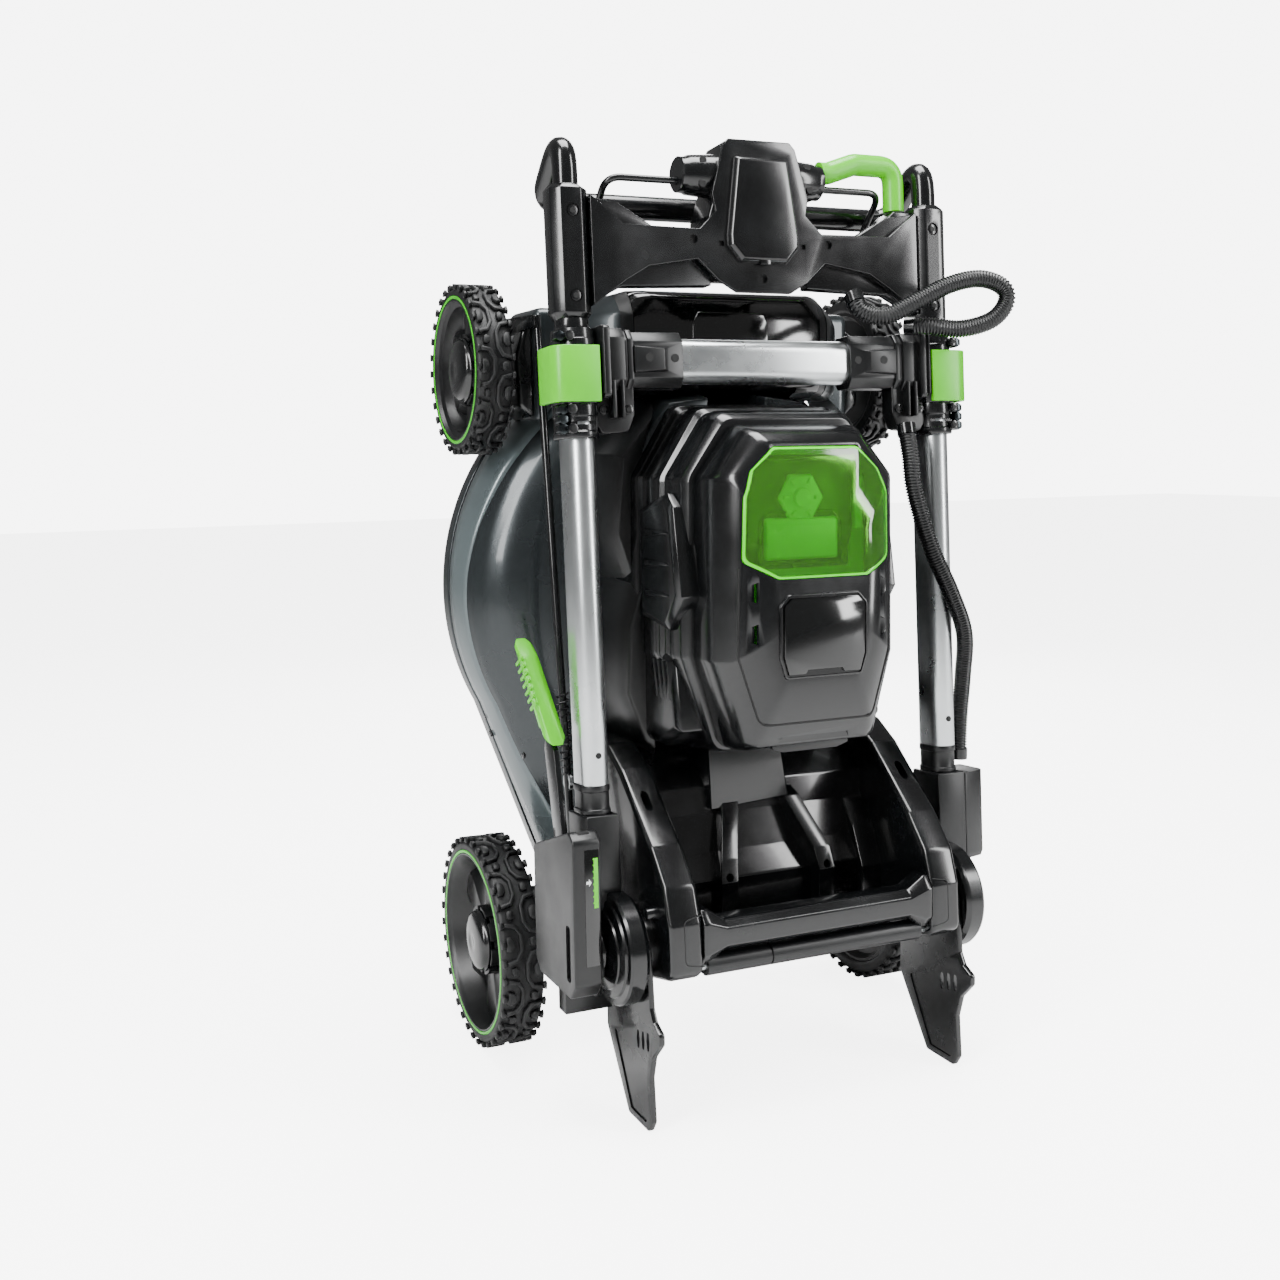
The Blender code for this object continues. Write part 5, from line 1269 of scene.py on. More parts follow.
@dataclass(frozen=True)
class HeightAdjuster:
    """The lever in its slotted housing on the left, with the link rod to the front axle."""

    shell_x: Span = (0.2175, 0.2450)
    slot_x: Span = (0.2255, 0.2365)
    front_y: float = -0.268
    rod_x: float = 0.1915
    rod_low: Point = (-0.137, 0.172)
    rod_high: Point = (-0.060, 0.7755)
    grip_low: tuple[float, float, float] = (0.231, -0.186, 0.3735)
    grip_run: tuple[float, float, float] = (0.009, 0.050, 0.080)

    def housing(self) -> Form:
        """The housing with its lever slot, side window, lug and foot."""
        side = mm((-268, 150), (-255, 134), (-172, 134), (-160, 146), (-160, 262), (-257, 296), (-268, 288))
        form = Form().plate("X", flat(rounded(side, 0.008, 5, closed=True)), *self.shell_x, 0.0018, 3)
        form.block((0.1785, 0.2280), (-0.196, -0.176), (0.095, 0.136), 0.001)
        opening = mm((-261, 150), (-215, 150), (-190, 125), (-100, 125), (-100, 320), (-261, 320))
        form.carve(Form().plate("X", opening, *self.slot_x, 0.0))
        window = flat(rounded(mm((-257, 150), (-246, 150), (-246, 205), (-257, 205)), 0.0052, 5, closed=True))
        form.carve(Form().plate("X", window, 0.2420, 0.26, 0.0))
        form.rod("X", (-0.239, 0.172), 0.0078, self.slot_x[0] - 0.002, self.slot_x[1] + 0.002, 32)
        return form.rod("X", (-0.252, 0.160), 0.0120, 0.2135, self.shell_x[0] + 0.002, 40, bevel=0.0015)

    def scale(self) -> None:
        """The black strip on the front, with its toothed green bar and white arrow."""
        front = self.front_y
        Form().block((0.2192, 0.2335), (front - 0.0005, front + 0.001), (0.168, 0.280),
                     0.0004).on(Side.LEFT).piece(
            "scale_strip", GLOSS_ABS, "chassis")
        teeth = mm((220.6, 224))
        for i in range(8):
            z = 0.224 + 0.006 * i
            teeth += [(0.2247, z), (0.2247, z + 0.0042), (0.2256, z + 0.0046), (0.2256, z + 0.0056)]
        teeth += mm((224.7, 272), (220.6, 272))
        Form().plate("Y", teeth, front - 0.0009, front, 0.0).on(Side.LEFT).piece("scale_green_bar", LIME,
                                                                                 "chassis")
        arrow = mm((227.2, 249), (229.6, 252.6), (229.6, 250.4), (232.2, 250.4), (232.2, 247.6),
                   (229.6, 247.6), (229.6, 245.4))
        Form().plate("Y", arrow, front - 0.0009, front, 0.0).on(Side.LEFT).piece("scale_arrow", LABEL_WHITE,
                                                                                 "chassis")

    def grip(self) -> Form:
        """The ribbed grip, in the row frame."""
        form = Form().node("height_grip", 0.0022, 3)
        for i in range(7):
            t = 0.34 + 0.085 * i
            x, y, z = (low + t * run for low, run in zip(self.grip_low, self.grip_run))
            rib = Form().block((-0.0015, 0.0011), (-0.0095, 0.0095), (-0.0017, 0.0017), 0.0008, 3)
            form.add(rib.turn("X", -0.56).move((x + 0.0103, y, z)).move((0, STAND_Y, 0)).flipped())
        form.carve(Form().block((0.21, 0.26), (-0.1865, -0.1785), (0.3765, 0.3800), 0.0).turn(
            "X", 0.56, (0, -0.1825, 0.3783)).move((0, STAND_Y, 0)).flipped())
        return form

    def build(self) -> None:
        """Builds the adjuster. Its spring keeps its CAD shape."""
        self.housing().on(Side.LEFT).piece("adjuster_housing", NYLON, "chassis", "lever_housing", sharp=35)
        self.scale()
        Form().node("height_lever", 0.0010).piece("adjuster_lever", BLACK_COAT, "height_lever",
                                                  "height_lever", space=None)
        self.grip().piece("adjuster_grip", LIME, "height_lever", "height_grip", space=None)
        low, high = (Vector((-self.rod_x, y, z)) for y, z in (self.rod_low, self.rod_high))
        reach = (high - low).normalized() * 0.006
        Form().tube([low - reach, low, high, high + reach], 0.004, 6).piece(
            "adjuster_link_rod", BLACK_COAT, "link_rod", "link_rod")
        eye = low.lerp(high, 0.228)
        Form().lathe((eye.y, eye.z), [(0.0062, -self.rod_x - 0.0016), (0.0096, -self.rod_x - 0.0016),
                                      (0.0096, -self.rod_x + 0.0016), (0.0062, -self.rod_x + 0.0016)],
                     32).piece(
            "spring_eye", ZINC, "chassis")
        dress(("height_spring",), BLACK_COAT)


def dress(nodes: Iterable[str], finish: Finish) -> None:
    """Gives CAD nodes that stay in view their finish."""
    for name in nodes:
        mesh = frame["nodes"][name].data
        mesh.materials.clear()
        mesh.materials.append(finish.material())


# ---------------------------------------------------------------- lower handle

@dataclass(frozen=True)
class LowerHandle:
    """Pivot discs, brackets, the two silver tubes and the crossbar."""

    tube: Point = (0.200, 0.0242)           # centre (x, y)
    width: float = 0.027
    depth: float = 0.044
    wall: float = 0.0012
    low: float = 0.157
    high: float = 0.506
    bar_half: float = 0.172
    bar: Point = (0.022, 0.5595)            # centre (y, z)
    disc: tuple[Point, ...] = (             # (radius, x)
        (0.0, 0.1787), (0.0510, 0.1787), (0.0548, 0.1830), (0.0550, 0.1965), (0.0535, 0.1990),
        (0.0475, 0.1998),
        (0.0462, 0.2018), (0.0385, 0.2040), (0.0376, 0.2056), (0.0290, 0.2080), (0.0190, 0.2098),
        (0.0180, 0.2124), (0.0135, 0.2124), (0.0128, 0.2112), (0.0, 0.2112))

    def pivot_disc(self) -> Form:
        """The domed, stepped disc, cut away for its bracket, with three shallow facets."""
        form = Form().lathe((0.0, 0.0), self.disc, 72)
        for angle in (-100, -62, -24):
            facet = Form().block((0.2000, 0.2075), (-0.0035, 0.0035), (0.022, 0.0525), 0.0015, 2)
            form.add(facet.turn("Y", 0.10, (0.2, 0, 0.022)).turn("X", radians(angle - 60)))
        return form.carve(Form().block((0.1827, 0.24), (-0.0018, 0.0468), (0.0277, 0.2), 0.0))

    def bracket(self, side: Side) -> Form:
        """The channel that the tube stands in, with its sleeve, and the cable guard on the right."""
        form = Form().block((0.183, 0.2165), (-0.0015, 0.0465), (0.028, 0.129), 0.0016, 3)
        form.carve(Form().block((0.1865, 0.213), (0.004, 0.1), (0.0, 0.2), 0.0))
        stem = [(0.064, 0.0008), (0.1285, 0.0008), (0.1292, 0.0018), (0.1335, 0.0018), (0.1342, 0.0006),
                (0.1505, 0.0006), (0.1512, 0.0016), (0.1567, 0.0016)]
        form.loft("Z", [(z, oval(self.tube, self.width + 2 * grow, self.depth - 0.004 + 2 * grow)) for z,
                        grow in stem],
                  0.0004, 2, angle=50)
        inner = self.width - 2 * self.wall - 0.0008
        form.rod("Z", self.tube, inner / 2, 0.10, 0.177, 32)
        if side is Side.RIGHT:
            boot = flat(rounded(mm((216, -1.5), (243, 6), (247, 14), (247, 50), (216, 46.5)), 0.003, 3,
                                closed=True))
            form.loft("Z", [(0.034, offset(boot, 0.002)), (0.040, boot), (0.127, boot)], 0.0015, 3)
        return form

    def build(self) -> None:
        """Builds the lower handle."""
        for side in Side:
            word = side.word
            self.pivot_disc().on(side).piece(f"pivot_disc_domed_{word}", SMOOTH_NYLON, "handle_lower",
                                             f"pivot_disc_{word}", space=Space.HANDLE, sharp=30)
            self.bracket(side).on(side).piece(f"bracket_channel_{word}", NYLON, "handle_lower",
                                              f"bracket_{word}", space=Space.HANDLE)
            tube = Form().plate("Z", oval(self.tube, self.width, self.depth, 48), self.low, self.high, 0.0004)
            inner = oval(self.tube, self.width - 2 * self.wall, self.depth - 2 * self.wall, 48)
            tube.carve(Form().plate("Z", inner, 0.1, 0.6, 0.0)).on(side).piece(
                f"silver_tube_{word}", ANODISED, "handle_lower", f"lower_tube_{word}", space=Space.HANDLE,
                sharp=30)
        pins = Form().rod("Y", (self.tube[0], 0.186), 0.0030, 0.0014, 0.004, 20).both()
        pins.piece("tube_pin_holes", HOLLOW, "handle_lower", space=Space.HANDLE)
        Form().plate("X", oval(self.bar, self.width, self.depth, 48), -self.bar_half, self.bar_half,
                     0.0004).piece(
            "silver_crossbar", ANODISED_ACROSS, "handle_lower", "crossbar", space=Space.HANDLE, sharp=30)


@dataclass(frozen=True)
class Clamp:
    """The clamp on a tube: collars, crossbar socket, gusset, fasteners and lime lever."""

    side: Side
    tube: Point = (0.200, 0.0242)
    bar: Point = (0.022, 0.5595)
    low: float = 0.486
    high: float = 0.588
    band: Span = (0.519, 0.571)
    socket_end: float = 0.094

    def octagon(self, grow: float) -> list[Point]:
        """The crossbar socket's section, grown."""
        y, z = self.bar
        a, b = 0.0175 + grow, 0.0265 + grow
        return [(y - a, z - b + 0.0095), (y - a + 0.0070, z - b), (y + a - 0.0070, z - b),
                (y + a, z - b + 0.0095),
                (y + a, z + b - 0.0095), (y + a - 0.0070, z + b), (y - a + 0.0070, z + b),
                (y - a, z + b - 0.0095)]

    def collars(self) -> Form:
        """The round collars above and below the band, and the block behind it."""
        def ring(z: float, grow: float) -> tuple[float, list[Point]]:
            """One outline of a collar."""
            return (z, oval(self.tube, 0.0365 + 2 * grow, 0.0510 + 2 * grow, 48))

        form = Form().loft("Z", [ring(self.low, 0.0006), ring(0.4875, 0.0012), ring(0.4915, 0.0012),
                                 ring(0.4932, 0.0), ring(0.5060, 0.0), ring(0.5066, 0.0008),
                                 ring(0.5186, 0.0008)],
                           0.0004, 2, angle=50)
        form.loft("Z",
                  [ring(0.5714, 0.0008), ring(0.5780, 0.0008), ring(0.5786, 0.0), ring(self.high, -0.0004)],
                  0.0004, 2, angle=50)
        block = mm((182, 3), (188, -1.5), (212, -1.5), (218.5, 5), (218.5, 43), (212, 50), (188, 50),
                   (182, 45))
        form.plate("Z", block, 0.5182, 0.5718, 0.0008)
        form.block((0.2180, 0.2236), (0.0300, 0.0445), (0.524, 0.566), 0.0010)
        slit = Form().block((0.184, 0.2165), (-0.01, 0.0035), (0.4985, 0.5015), 0.0)
        bores = Form().plate("Z", oval(self.tube, 0.0276, 0.0446, 48), 0.3, 0.5063, 0.0)
        return form.carve(slit).carve(bores).carve(Form().rod("Z", self.tube, 0.0125, 0.3, 0.8, 48,
                                                              bevel=0.0))

    def socket(self) -> Form:
        """The stepped eight-sided socket with its raised panel, frame and gusset."""
        form = Form()
        y, z = self.bar
        steps = ((self.socket_end, 0.1470, 0.0), (0.1465, 0.1520, 0.0018), (0.1515, 0.1560, 0.0006),
                 (0.1555, 0.1735, 0.0030))
        for low, high, grow in steps:
            form.plate("X", self.octagon(grow), low, high, 0.0009)
        form.plate("X", flat(rounded([(-0.0050, z - 0.037), (0.0465, z - 0.037), (0.0465, z + 0.031),
                                      (-0.0050, z + 0.031)], 0.005, 4, closed=True)), 0.1730, 0.1806, 0.0012)
        form.plate("X", [(-0.0072, z - 0.033), (0.030, z - 0.033), (0.030, z + 0.030), (-0.0072, z + 0.030)],
                   0.1800, 0.1822, 0.0006)
        front = y - 0.0175
        foot = [(0.1460, z + 0.0135), (0.1080, z + 0.0115), (0.1080, z - 0.0115), (0.1460, z - 0.0135)]
        face = [(0.1460, z + 0.0120), (0.1150, z + 0.0100), (0.1150, z - 0.0100), (0.1460, z - 0.0120)]
        form.loft("Y", [(front + 0.001, foot), (front - 0.0038, face)], 0.0008)
        for x, width in ((0.1600, 0.0030), (0.1690, 0.0040)):
            form.block((x - width / 2, x + width / 2), (-0.0005, 0.018), (z - 0.055, z - 0.020), 0.0009)
        flange = flat(rounded([(0.1850, z - 0.020), (0.1450, z - 0.020), (0.1450, z - 0.052),
                               (0.1520, z - 0.068),
                               (0.1790, z - 0.070), (0.1850, z - 0.060)], 0.006, 5, closed=True))
        form.plate("Y", flange, 0.0090, 0.0290, 0.0014, 3)
        hollow = Form().plate("X", oval(self.bar, 0.0276, 0.0446, 48), 0.05, 0.1723, 0.0)
        return form.carve(hollow).carve(Form().rod("Z", self.tube, 0.0180, 0.3, 0.8, 48, bevel=0.0))

    def lever(self) -> Form:
        """The lime band, nearly flat in front and curved round the outer side, with its barrel."""
        path = flat(rounded([(0.1850, -0.0052), (0.2282, -0.0052), (0.2282, 0.0370)], 0.0150, 8))
        form = Form().plate("Z", strip(path, 0.0050), *self.band, 0.0009, 3)
        return form.rod("Z", (0.2270, 0.0372), 0.0033, self.band[0] + 0.001, self.band[1] - 0.001, 24)

    def build(self) -> None:
        """Builds the clamp and its lever on the lower handle."""
        word, space = self.side.word, Space.HANDLE
        self.collars().on(self.side).piece(f"clamp_collars_{word}", SMOOTH_NYLON, "handle_lower",
                                           f"clamp_{word}", space=space, sharp=35)
        self.socket().on(self.side).piece(f"clamp_socket_{word}", NYLON, "handle_lower", space=space,
                                          sharp=35)
        nuts = Form()
        for z in (0.5800, 0.5125, 0.5035, 0.4945):
            nuts.rod("Y", (0.2208, z), 0.0052, 0.0005, 0.0120, 6, bevel=0.0005)
        nuts.on(self.side).piece(f"clamp_nuts_{word}", ZINC_BLACK, "handle_lower", space=space)
        z = self.bar[1]
        spots = [(0.2130, -0.0040, 0.5800), (0.2130, -0.0040, 0.5125), (0.2130, -0.0040, 0.4945),
                 (0.1776, 0.0068, z - 0.0470), (0.1520, 0.0068, z - 0.0470)]
        socket_screws([(self.side.value * x, *rest) for x, *rest in spots], 0.0046, f"clamp_screw_{word}",
                      "handle_lower", space)
        holes = Form().rod("Y", (0.1310, z + 0.0015), 0.0042, 0.0004, 0.0030, 28, bevel=0.0)
        holes.rod("Y", (0.1025, z + 0.0015), 0.0040, 0.0041, 0.0060, 28, bevel=0.0)
        holes.on(self.side).piece(f"clamp_holes_{word}", HOLLOW, "handle_lower", space=space)
        self.lever().on(self.side).piece(f"clamp_band_{word}", LIME, f"clamp_lever_{word}",
                                         f"clamp_lever_{word}", space=space)


# ---------------------------------------------------------------- upper handle

@dataclass(frozen=True)
class UpperHandle:
    """The grip tube, its eight-sided housings, and the sleeves that slide into the clamps."""

    tube: Point = (0.200, 0.0242)
    radius: float = 0.012
    low: float = 0.186
    housing_z: Span = (0.596, 0.7225)
    bend: Point = (0.088, 0.720)
    apex: float = 0.773

    def housing(self) -> Form:
        """The housing on the right tube, with chamfered ends."""
        def ring(z: float, inset: float) -> tuple[float, list[Point]]:
            """One outline of the housing."""
            x0, x1, y0, y1 = 0.1820 + inset, 0.2195 - inset, 0.0080 + inset, 0.0425 - inset
            cut = 0.0085
            return (z, [(x0, y0 + cut), (x0 + cut, y0), (x1 - cut, y0), (x1, y0 + cut), (x1, y1 - cut),
                        (x1 - cut, y1), (x0 + cut, y1), (x0, y1 - cut)])

        low, high = self.housing_z
        form = Form().loft("Z", [ring(low, 0.0040), ring(low + 0.007, 0.0), ring(high - 0.005, 0.0),
                                 ring(high, 0.0042)], 0.0009)
        form.rod("Z", self.tube, 0.0163, 0.5886, low + 0.002, 48)
        for z in (0.6966, 0.6186):
            form.carve(Form().rod("Y", (self.tube[0], z), 0.0062, -0.01, 0.0105, 32, bevel=0.0))
        return form.carve(Form().rod("Z", self.tube, self.radius + 0.0003, 0.5, 0.8, 48, bevel=0.0))

    def grip(self) -> Form:
        """The bent grip tube."""
        x, y = self.tube
        corners = [(-x, y, self.low), (-x, y, self.apex), (-x, *self.bend), (x, *self.bend),
                   (x, y, self.apex), (x, y, self.low)]
        return Form().tube(rounded(corners, 0.0235, 12), self.radius, 10)

    def build(self) -> None:
        """Builds the grip tube and the housings."""
        body, space = "handle_upper", Space.HANDLE
        self.grip().piece("bent_grip_tube", BLACK_TUBE, body, "grip_tube", space=space, sharp=50)
        for side in Side:
            self.housing().on(side).piece(f"tube_housing_octagonal_{side.word}", SMOOTH_NYLON, body,
                                          f"tube_housing_{side.word}", space=space, sharp=30)
        socket_screws([(s * self.tube[0], 0.0088, z) for s in (-1, 1) for z in (0.6966, 0.6186)], 0.0052,
                      "housing_screw", body, space)


@dataclass(frozen=True)
class Crossbeam:
    """The beam between the housings, and the console on its middle."""

    front: tuple[Point, ...] = (            # right half, bottom to top
        (0.030, 0.6260), (0.050, 0.6375), (0.071, 0.6570), (0.123, 0.6485), (0.148, 0.6340), (0.1812, 0.6100),
        (0.1812, 0.7130), (0.1477, 0.6870), (0.068, 0.6860), (0.050, 0.7035), (0.0535, 0.7200),
        (0.040, 0.7670), (0.034, 0.7735))
    behind: tuple[Point, ...] = (
        (0.054, 0.6330), (0.148, 0.6300), (0.1812, 0.6130), (0.1812, 0.7125), (0.1495, 0.7080),
        (0.112, 0.6865), (0.058, 0.6865))
    console: tuple[Point, ...] = (
        (0.040, 0.6420), (0.0555, 0.6560), (0.0555, 0.7000), (0.0460, 0.7280), (0.0340, 0.7738))
    panel: tuple[Point, ...] = (
        (0.0250, 0.6560), (0.0375, 0.6700), (0.0380, 0.6810), (0.0275, 0.7555))
    boss_y: float = 0.035
    boss_z: float = 0.742
    wire_z: float = 0.736
    bail_z: float = 0.7525

    def beam(self) -> Form:
        """The front skin, the recessed strips behind it, and the block that the drive bail meets."""
        form = Form().plate("Y", both_halves(self.front), 0.0100, 0.0142, 0.0010, 3)
        form.loft("Y", [(0.0030, softened(offset_half(self.panel, 0.0025), 0.002)),
                        (0.0060, softened(self.panel, 0.003)),
                        (0.0105, softened(offset_half(self.panel, -0.002), 0.003))],
                  0.0008)
        form.block((-0.0056, 0.0056), (0.0045, 0.0110), (0.6530, 0.6590), 0.0006)
        edge = Form().plate("Y", list(self.front[2:9]), 0.0138, 0.0240, 0.0010, 2)
        edge.plate("Y", list(self.behind), 0.0180, 0.0340, 0.0012, 3)
        form.add(edge.both())
        holes = Form()
        for x, z in ((0.075, 0.6756), (0.0, 0.6400)):
            holes.rod("Y", (x, z), 0.0042, 0.0, 0.0132, 28, bevel=0.0)
        holes.block((0.0425, 0.0485), (0.0, 0.0130), (0.6700, 0.6750), 0.0)
        form.carve(holes.both())
        rest = mm((150, 690), (180.8, 690), (180.8, 715.5), (161, 715.5), (150, 706))
        return form.add(Form().plate("Y", rest, 0.0200, 0.0500, 0.0020, 3))

    def body(self) -> Form:
        """The console with its two tapered bosses, drilled for the bails, the button and the key."""
        form = Form().plate("Y", softened(self.console, 0.004), 0.0145, 0.0600, 0.0040, 4)
        boss = Form().lathe((self.boss_y, self.boss_z), [
            (0.0, 0.028), (0.0218, 0.028), (0.0205, 0.050), (0.0190, 0.0690), (0.0178, 0.0715),
            (0.0172, 0.0750), (0.0172, 0.0785), (0.0160, 0.0795), (0.0, 0.0795)], 48)
        form.carve(boss, "UNION").carve(boss.flipped(), "UNION")
        cuts = Form().rod("X", (self.boss_y, self.bail_z), 0.0049, 0.068, 0.10, 32, bevel=0.0)
        cuts.rod("X", (self.boss_y, self.wire_z), 0.0040, 0.066, 0.10, 32, bevel=0.0)
        cuts.rod("X", (self.boss_y, self.wire_z), 0.0040, -0.10, -0.066, 32, bevel=0.0)
        cuts.block((-0.0071, 0.0071), (0.0460, 0.1), (0.6825, 0.6975), 0.0)
        cuts.rod("Y", (0.0, 0.742), 0.0095, 0.0480, 0.1, 48, bevel=0.0)
        return form.carve(cuts)

    def build(self) -> None:
        """Builds the beam and the console."""
        body, space = "handle_upper", Space.HANDLE
        self.beam().piece("crossbeam_moulded", SMOOTH_NYLON, body, "crossbeam", space=space, sharp=35)
        self.body().piece("console_body", SMOOTH_NYLON, body, "console", space=space, sharp=35)
        sockets = Form()
        for x, z, y in ((0.058, 0.7530, 0.0172), (0.060, 0.7310, 0.0172)):
            sockets.rod("Y", (x, z), 0.0036, y, y + 0.004, 24, bevel=0.0)
        sockets.both().piece("boss_screw_sockets", HOLLOW, body, space=space)
        socket_screws([(0.1655, 0.0192, 0.7045)], 0.0040, "bail_rest_screw", body, space)


def offset_half(half: Sequence[Point], by: float) -> list[Point]:
    """The right half of a closed outline, after its mirrored whole is moved inwards."""
    return offset(both_halves(half), by)[:len(half)]


@dataclass(frozen=True)
class Controls:
    """The bails, the safety key, the start button and the speed dial."""

    boss_y: float = 0.035
    wire_z: float = 0.736
    bail_z: float = 0.7525
    wire_r: float = 0.0035
    bail_r: float = 0.011
    back: float = 0.060
    dial: Point = (0.033, 0.690)

    def bails(self) -> None:
        """The thin black wire bail and the thick green drive bail."""
        end, bar = (self.boss_y, self.wire_z), (0.090, 0.684)
        corners = [(-0.068, *end), (-0.154, *end), (-0.154, *bar), (0.154, *bar), (0.154, *end),
                   (0.068, *end)]
        Form().tube(rounded(corners, 0.016, 8), self.wire_r, 6).piece(
            "thin_wire_bail", BLACK_COAT, "wire_bail", "wire_bail", space=Space.HANDLE, sharp=50)
        y, z = self.boss_y, self.bail_z
        corners = [(0.0803, y, z), (0.090, y, z), (0.122, y, z + 0.011), (0.170, y, z + 0.011),
                   (0.170, y, 0.7175)]
        bend = rounded(corners, 0.018, 10)
        points = [Vector((0.070, y, z)), Vector((0.0798, y, z)), *bend]
        Form().tube(points, self.bail_r, 10, [0.4, 0.4] + [1.0] * len(bend)).piece(
            "green_drive_bail", LIME, "drive_bail", "drive_bail", space=Space.HANDLE, sharp=50)

    def switches(self) -> None:
        """The button, the key and the ribbed dial on the console's back."""
        space, back = Space.HANDLE, self.back
        dome = circle((0.0, 0.742), 0.0089, 48)
        Form().loft("Y", [(back - 0.007, dome), (back + 0.0025, dome), (back + 0.0037, offset(dome, 0.0022)),
                          (back + 0.0040, offset(dome, 0.0050))], 0.0004).piece(
            "start_button_domed", LIME, "start_button", "start_button", space=space)
        Form().plate("X",
                     flat(rounded([(back - 0.0133, 0.6832), (back + 0.013, 0.6832), (back + 0.013, 0.6968),
                                        (back - 0.0133, 0.6968)], 0.003, 5, closed=True)), -0.0064, 0.0064,
                     0.0010).carve(Form().rod("X", (back + 0.0075, 0.690), 0.0032, -0.1, 0.1, 24,
                                              bevel=0.0)).piece(
            "safety_key_loop", LIME, "safety_key", "safety_key", space=space)
        knob = Form().rod("Y", self.dial, 0.0128, back + 0.0004, back + 0.0108, 48, tip=0.0120, bevel=0.0010)
        for i in range(20):
            rib = Form().block((-0.0008, 0.0008), (back + 0.0010, back + 0.0092), (0.0120, 0.0138), 0.0004)
            knob.add(rib.turn("Y", 2 * pi * i / 20).move((self.dial[0], 0, self.dial[1])))
        knob.piece("speed_dial_ribbed", NYLON, "speed_dial", "speed_dial", space=space)
        Form().block((self.dial[0] - 0.0008, self.dial[0] + 0.0008), (back + 0.0100, back + 0.0110),
                     (self.dial[1] + 0.003, self.dial[1] + 0.0105), 0.0002).piece(
            "speed_dial_mark", LABEL_WHITE, "speed_dial", space=space)

    def build(self) -> None:
        """Builds the bails and the switches."""
        self.bails()
        self.switches()


# ---------------------------------------------------------------- conduit

@dataclass(frozen=True)
class Conduit:
    """A stretch of corrugated cable conduit, fixed at both ends."""

    name: str
    body: str
    route: tuple[tuple[float, float, float], ...]
    radius: float = 0.009
    ridge: float = 0.0030          # from one ridge to the next
    valley: float = 0.84           # radius between the ridges, as a share

    def build(self) -> None:
        """Builds the ridged tube and the collar at each end."""
        points = smooth_route(self.route, self.ridge / 4)
        pattern = (1.0, 1.0, self.valley, self.valley)
        Form().tube(points, self.radius, 4, [pattern[i % 4] for i in range(len(points))]).piece(
            f"{self.name}_corrugated", NYLON, self.body, self.name, sharp=70)
        collars = Form()
        for run in (points[:16], points[-16:]):
            collars.tube(run, 0.0098, 6)
        collars.piece(f"{self.name}_collars", SMOOTH_NYLON, self.body)
        LOG.info("%s: %.0f mm long", self.name,
                 1000 * sum((b - a).length for a, b in zip(points, points[1:])))


LOOP_ROUTE = (
    (0.098, -0.196, 0.797), (0.101, -0.207, 0.780), (0.122, -0.219, 0.774), (0.152, -0.228, 0.788),
    (0.187, -0.236, 0.805), (0.219, -0.243, 0.811), (0.243, -0.248, 0.803), (0.2465, -0.249, 0.787),
    (0.231, -0.246, 0.770), (0.200, -0.238, 0.7615), (0.170, -0.226, 0.7645), (0.153, -0.208, 0.7665))
LOWER_ROUTE = (
    (0.152, -0.212, 0.666), (0.1505, -0.222, 0.636), (0.1535, -0.227, 0.597), (0.172, -0.2305, 0.540),
    (0.199, -0.2285, 0.491), (0.2205, -0.2225, 0.447), (0.2285, -0.210, 0.400), (0.2295, -0.204, 0.355),
    (0.2285, -0.2035, 0.308))


# ---------------------------------------------------------------- studio

@dataclass(frozen=True)
class Light:
    """A soft box that faces the mower."""

    name: str
    place: tuple[float, float, float]
    target: tuple[float, float, float]
    width: float
    height: float
    power: float

    def build(self) -> None:
        """Hangs the light."""
        lamp = bpy.data.lights.new(self.name, "AREA")
        lamp.shape = "RECTANGLE"
        lamp.size, lamp.size_y, lamp.energy = self.width, self.height, self.power
        obj = bpy.data.objects.new(self.name, lamp)
        bpy.context.scene.collection.objects.link(obj)
        obj.location = self.place
        way = Vector(self.target) - Vector(self.place)
        obj.rotation_euler = way.to_track_quat("-Z", "Y").to_euler()


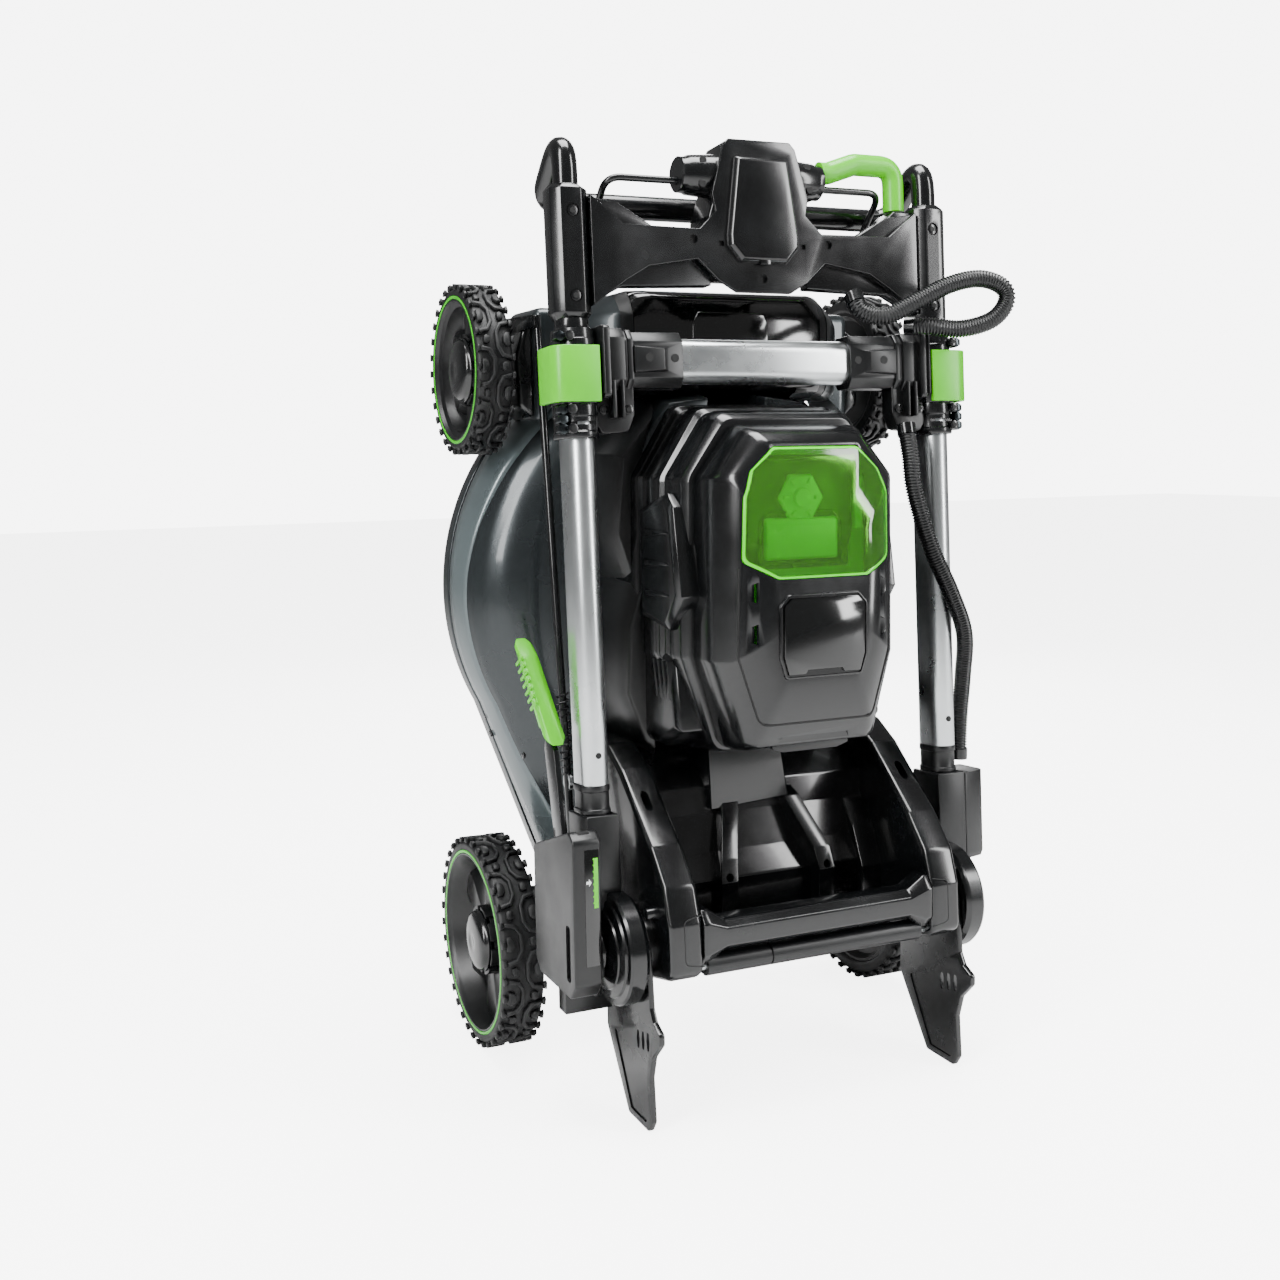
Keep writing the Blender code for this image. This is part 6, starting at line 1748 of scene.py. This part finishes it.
@dataclass(frozen=True)
class Studio:
    """A pale floor, soft boxes, and a camera in front of the mower, to its left."""

    eye: tuple[float, float, float] = (-0.71316, -1.49304, 0.64863)     # in the stand frame
    yaw: float = radians(23.75)
    pitch: float = radians(7.53)
    roll: float = radians(-0.88)
    lens_mm: float = 41.29
    floor_half: float = 12.0
    seen: float = 7.0                 # brightness of the surroundings, as the camera sees them
    glow: float = 5.2                 # brightness added to the paper, as the camera sees it
    ambient: float = 0.22             # and as they light the mower
    lights: tuple[Light, ...] = (
        Light("key_left", (-2.2, -1.2, 1.9), (0.0, 0.0, 0.45), 0.5, 2.4, 85),
        Light("fill_right", (1.9, -1.9, 1.5), (0.0, 0.0, 0.45), 0.4, 2.4, 60),
        Light("top", (0.0, -0.2, 2.8), (0.0, 0.0, 0.4), 1.6, 1.2, 120),
        Light("back_rim", (1.2, 2.2, 1.6), (0.0, 0.0, 0.5), 1.2, 1.6, 45),
    )

    def camera(self) -> None:
        """Sets the camera."""
        ahead = Vector((sin(self.yaw) * cos(self.pitch), cos(self.yaw) * cos(self.pitch), -sin(self.pitch)))
        level = Vector((cos(self.yaw), -sin(self.yaw), 0.0))
        above = level.cross(ahead)
        right = level * cos(self.roll) + above * sin(self.roll)
        up = above * cos(self.roll) - level * sin(self.roll)
        turn = Matrix((right, up, -ahead)).transposed()
        data = bpy.data.cameras.new("studio_camera")
        data.sensor_width = 36.0
        data.lens = self.lens_mm
        camera = bpy.data.objects.new("studio_camera", data)
        bpy.context.scene.collection.objects.link(camera)
        camera.matrix_world = Matrix.Translation(Vector(self.eye) + Vector((0, STAND_Y, 0))) @ turn.to_4x4()
        bpy.context.scene.camera = camera

    def build(self) -> None:
        """Builds the floor, the world, the lights and the camera."""
        part = bmesh.new()
        bmesh.ops.create_grid(part, x_segments=8, y_segments=8, size=self.floor_half)
        mesh = bpy.data.meshes.new("studio_floor")
        part.to_mesh(mesh)
        part.free()
        paper = bpy.data.materials.new("matt_studio_paper")
        paper.use_nodes = True
        shader = paper.node_tree.nodes["Principled BSDF"]
        shader.inputs["Base Color"].default_value = linear("#FAFAFA")
        shader.inputs["Roughness"].default_value = 0.75
        shader.inputs["Emission Color"].default_value = linear("#FFFFFF")
        direct = add_node(paper.node_tree, "ShaderNodeLightPath").outputs["Is Camera Ray"]
        glow = add_node(paper.node_tree, "ShaderNodeMapRange", {"Value": direct, "To Max": self.glow})
        paper.node_tree.links.new(glow.outputs["Result"], shader.inputs["Emission Strength"])
        shader.inputs["Specular IOR Level"].default_value = 0.1
        mesh.materials.append(paper)
        floor = bpy.data.objects.new("studio_floor", mesh)
        bpy.context.scene.collection.objects.link(floor)
        floor.location = (0, 0, -0.0005)
        world = bpy.data.worlds.new("studio_world")
        world.use_nodes = True
        tree = world.node_tree
        direct = add_node(tree, "ShaderNodeLightPath").outputs["Is Camera Ray"]
        strength = add_node(tree, "ShaderNodeMapRange", {
            "Value": direct, "To Min": self.ambient, "To Max": self.seen}).outputs["Result"]
        tree.nodes["Background"].inputs["Color"].default_value = linear("#FDFDFD")
        tree.links.new(strength, tree.nodes["Background"].inputs["Strength"])
        bpy.context.scene.world = world
        for light in self.lights:
            light.build()
        self.camera()


def main() -> None:
    """Builds the mower's pieces around the CAD frame, and the studio."""
    Studio().build()
    for end, repeats, ring_depth in (("rear", 12, 0.0158), ("front", 10, 0.0135)):
        for side in Side:
            Wheel(end, side, repeats, ring_depth).build()
    builders = (Deck(), Nose(), MotorHousing(), Tail(), Underside(), HeightAdjuster(), LowerHandle(),
                Clamp(Side.LEFT), Clamp(Side.RIGHT), UpperHandle(), Crossbeam(), Controls(),
                Conduit("conduit_loop", "handle_upper", LOOP_ROUTE),
                Conduit("conduit_lower", "handle_lower", LOWER_ROUTE))
    for builder in builders:
        builder.build()
        LOG.info("%s done", type(builder).__name__)


if __name__ == "__main__":
    logging.basicConfig(level=logging.INFO, format="%(message)s")
    main()
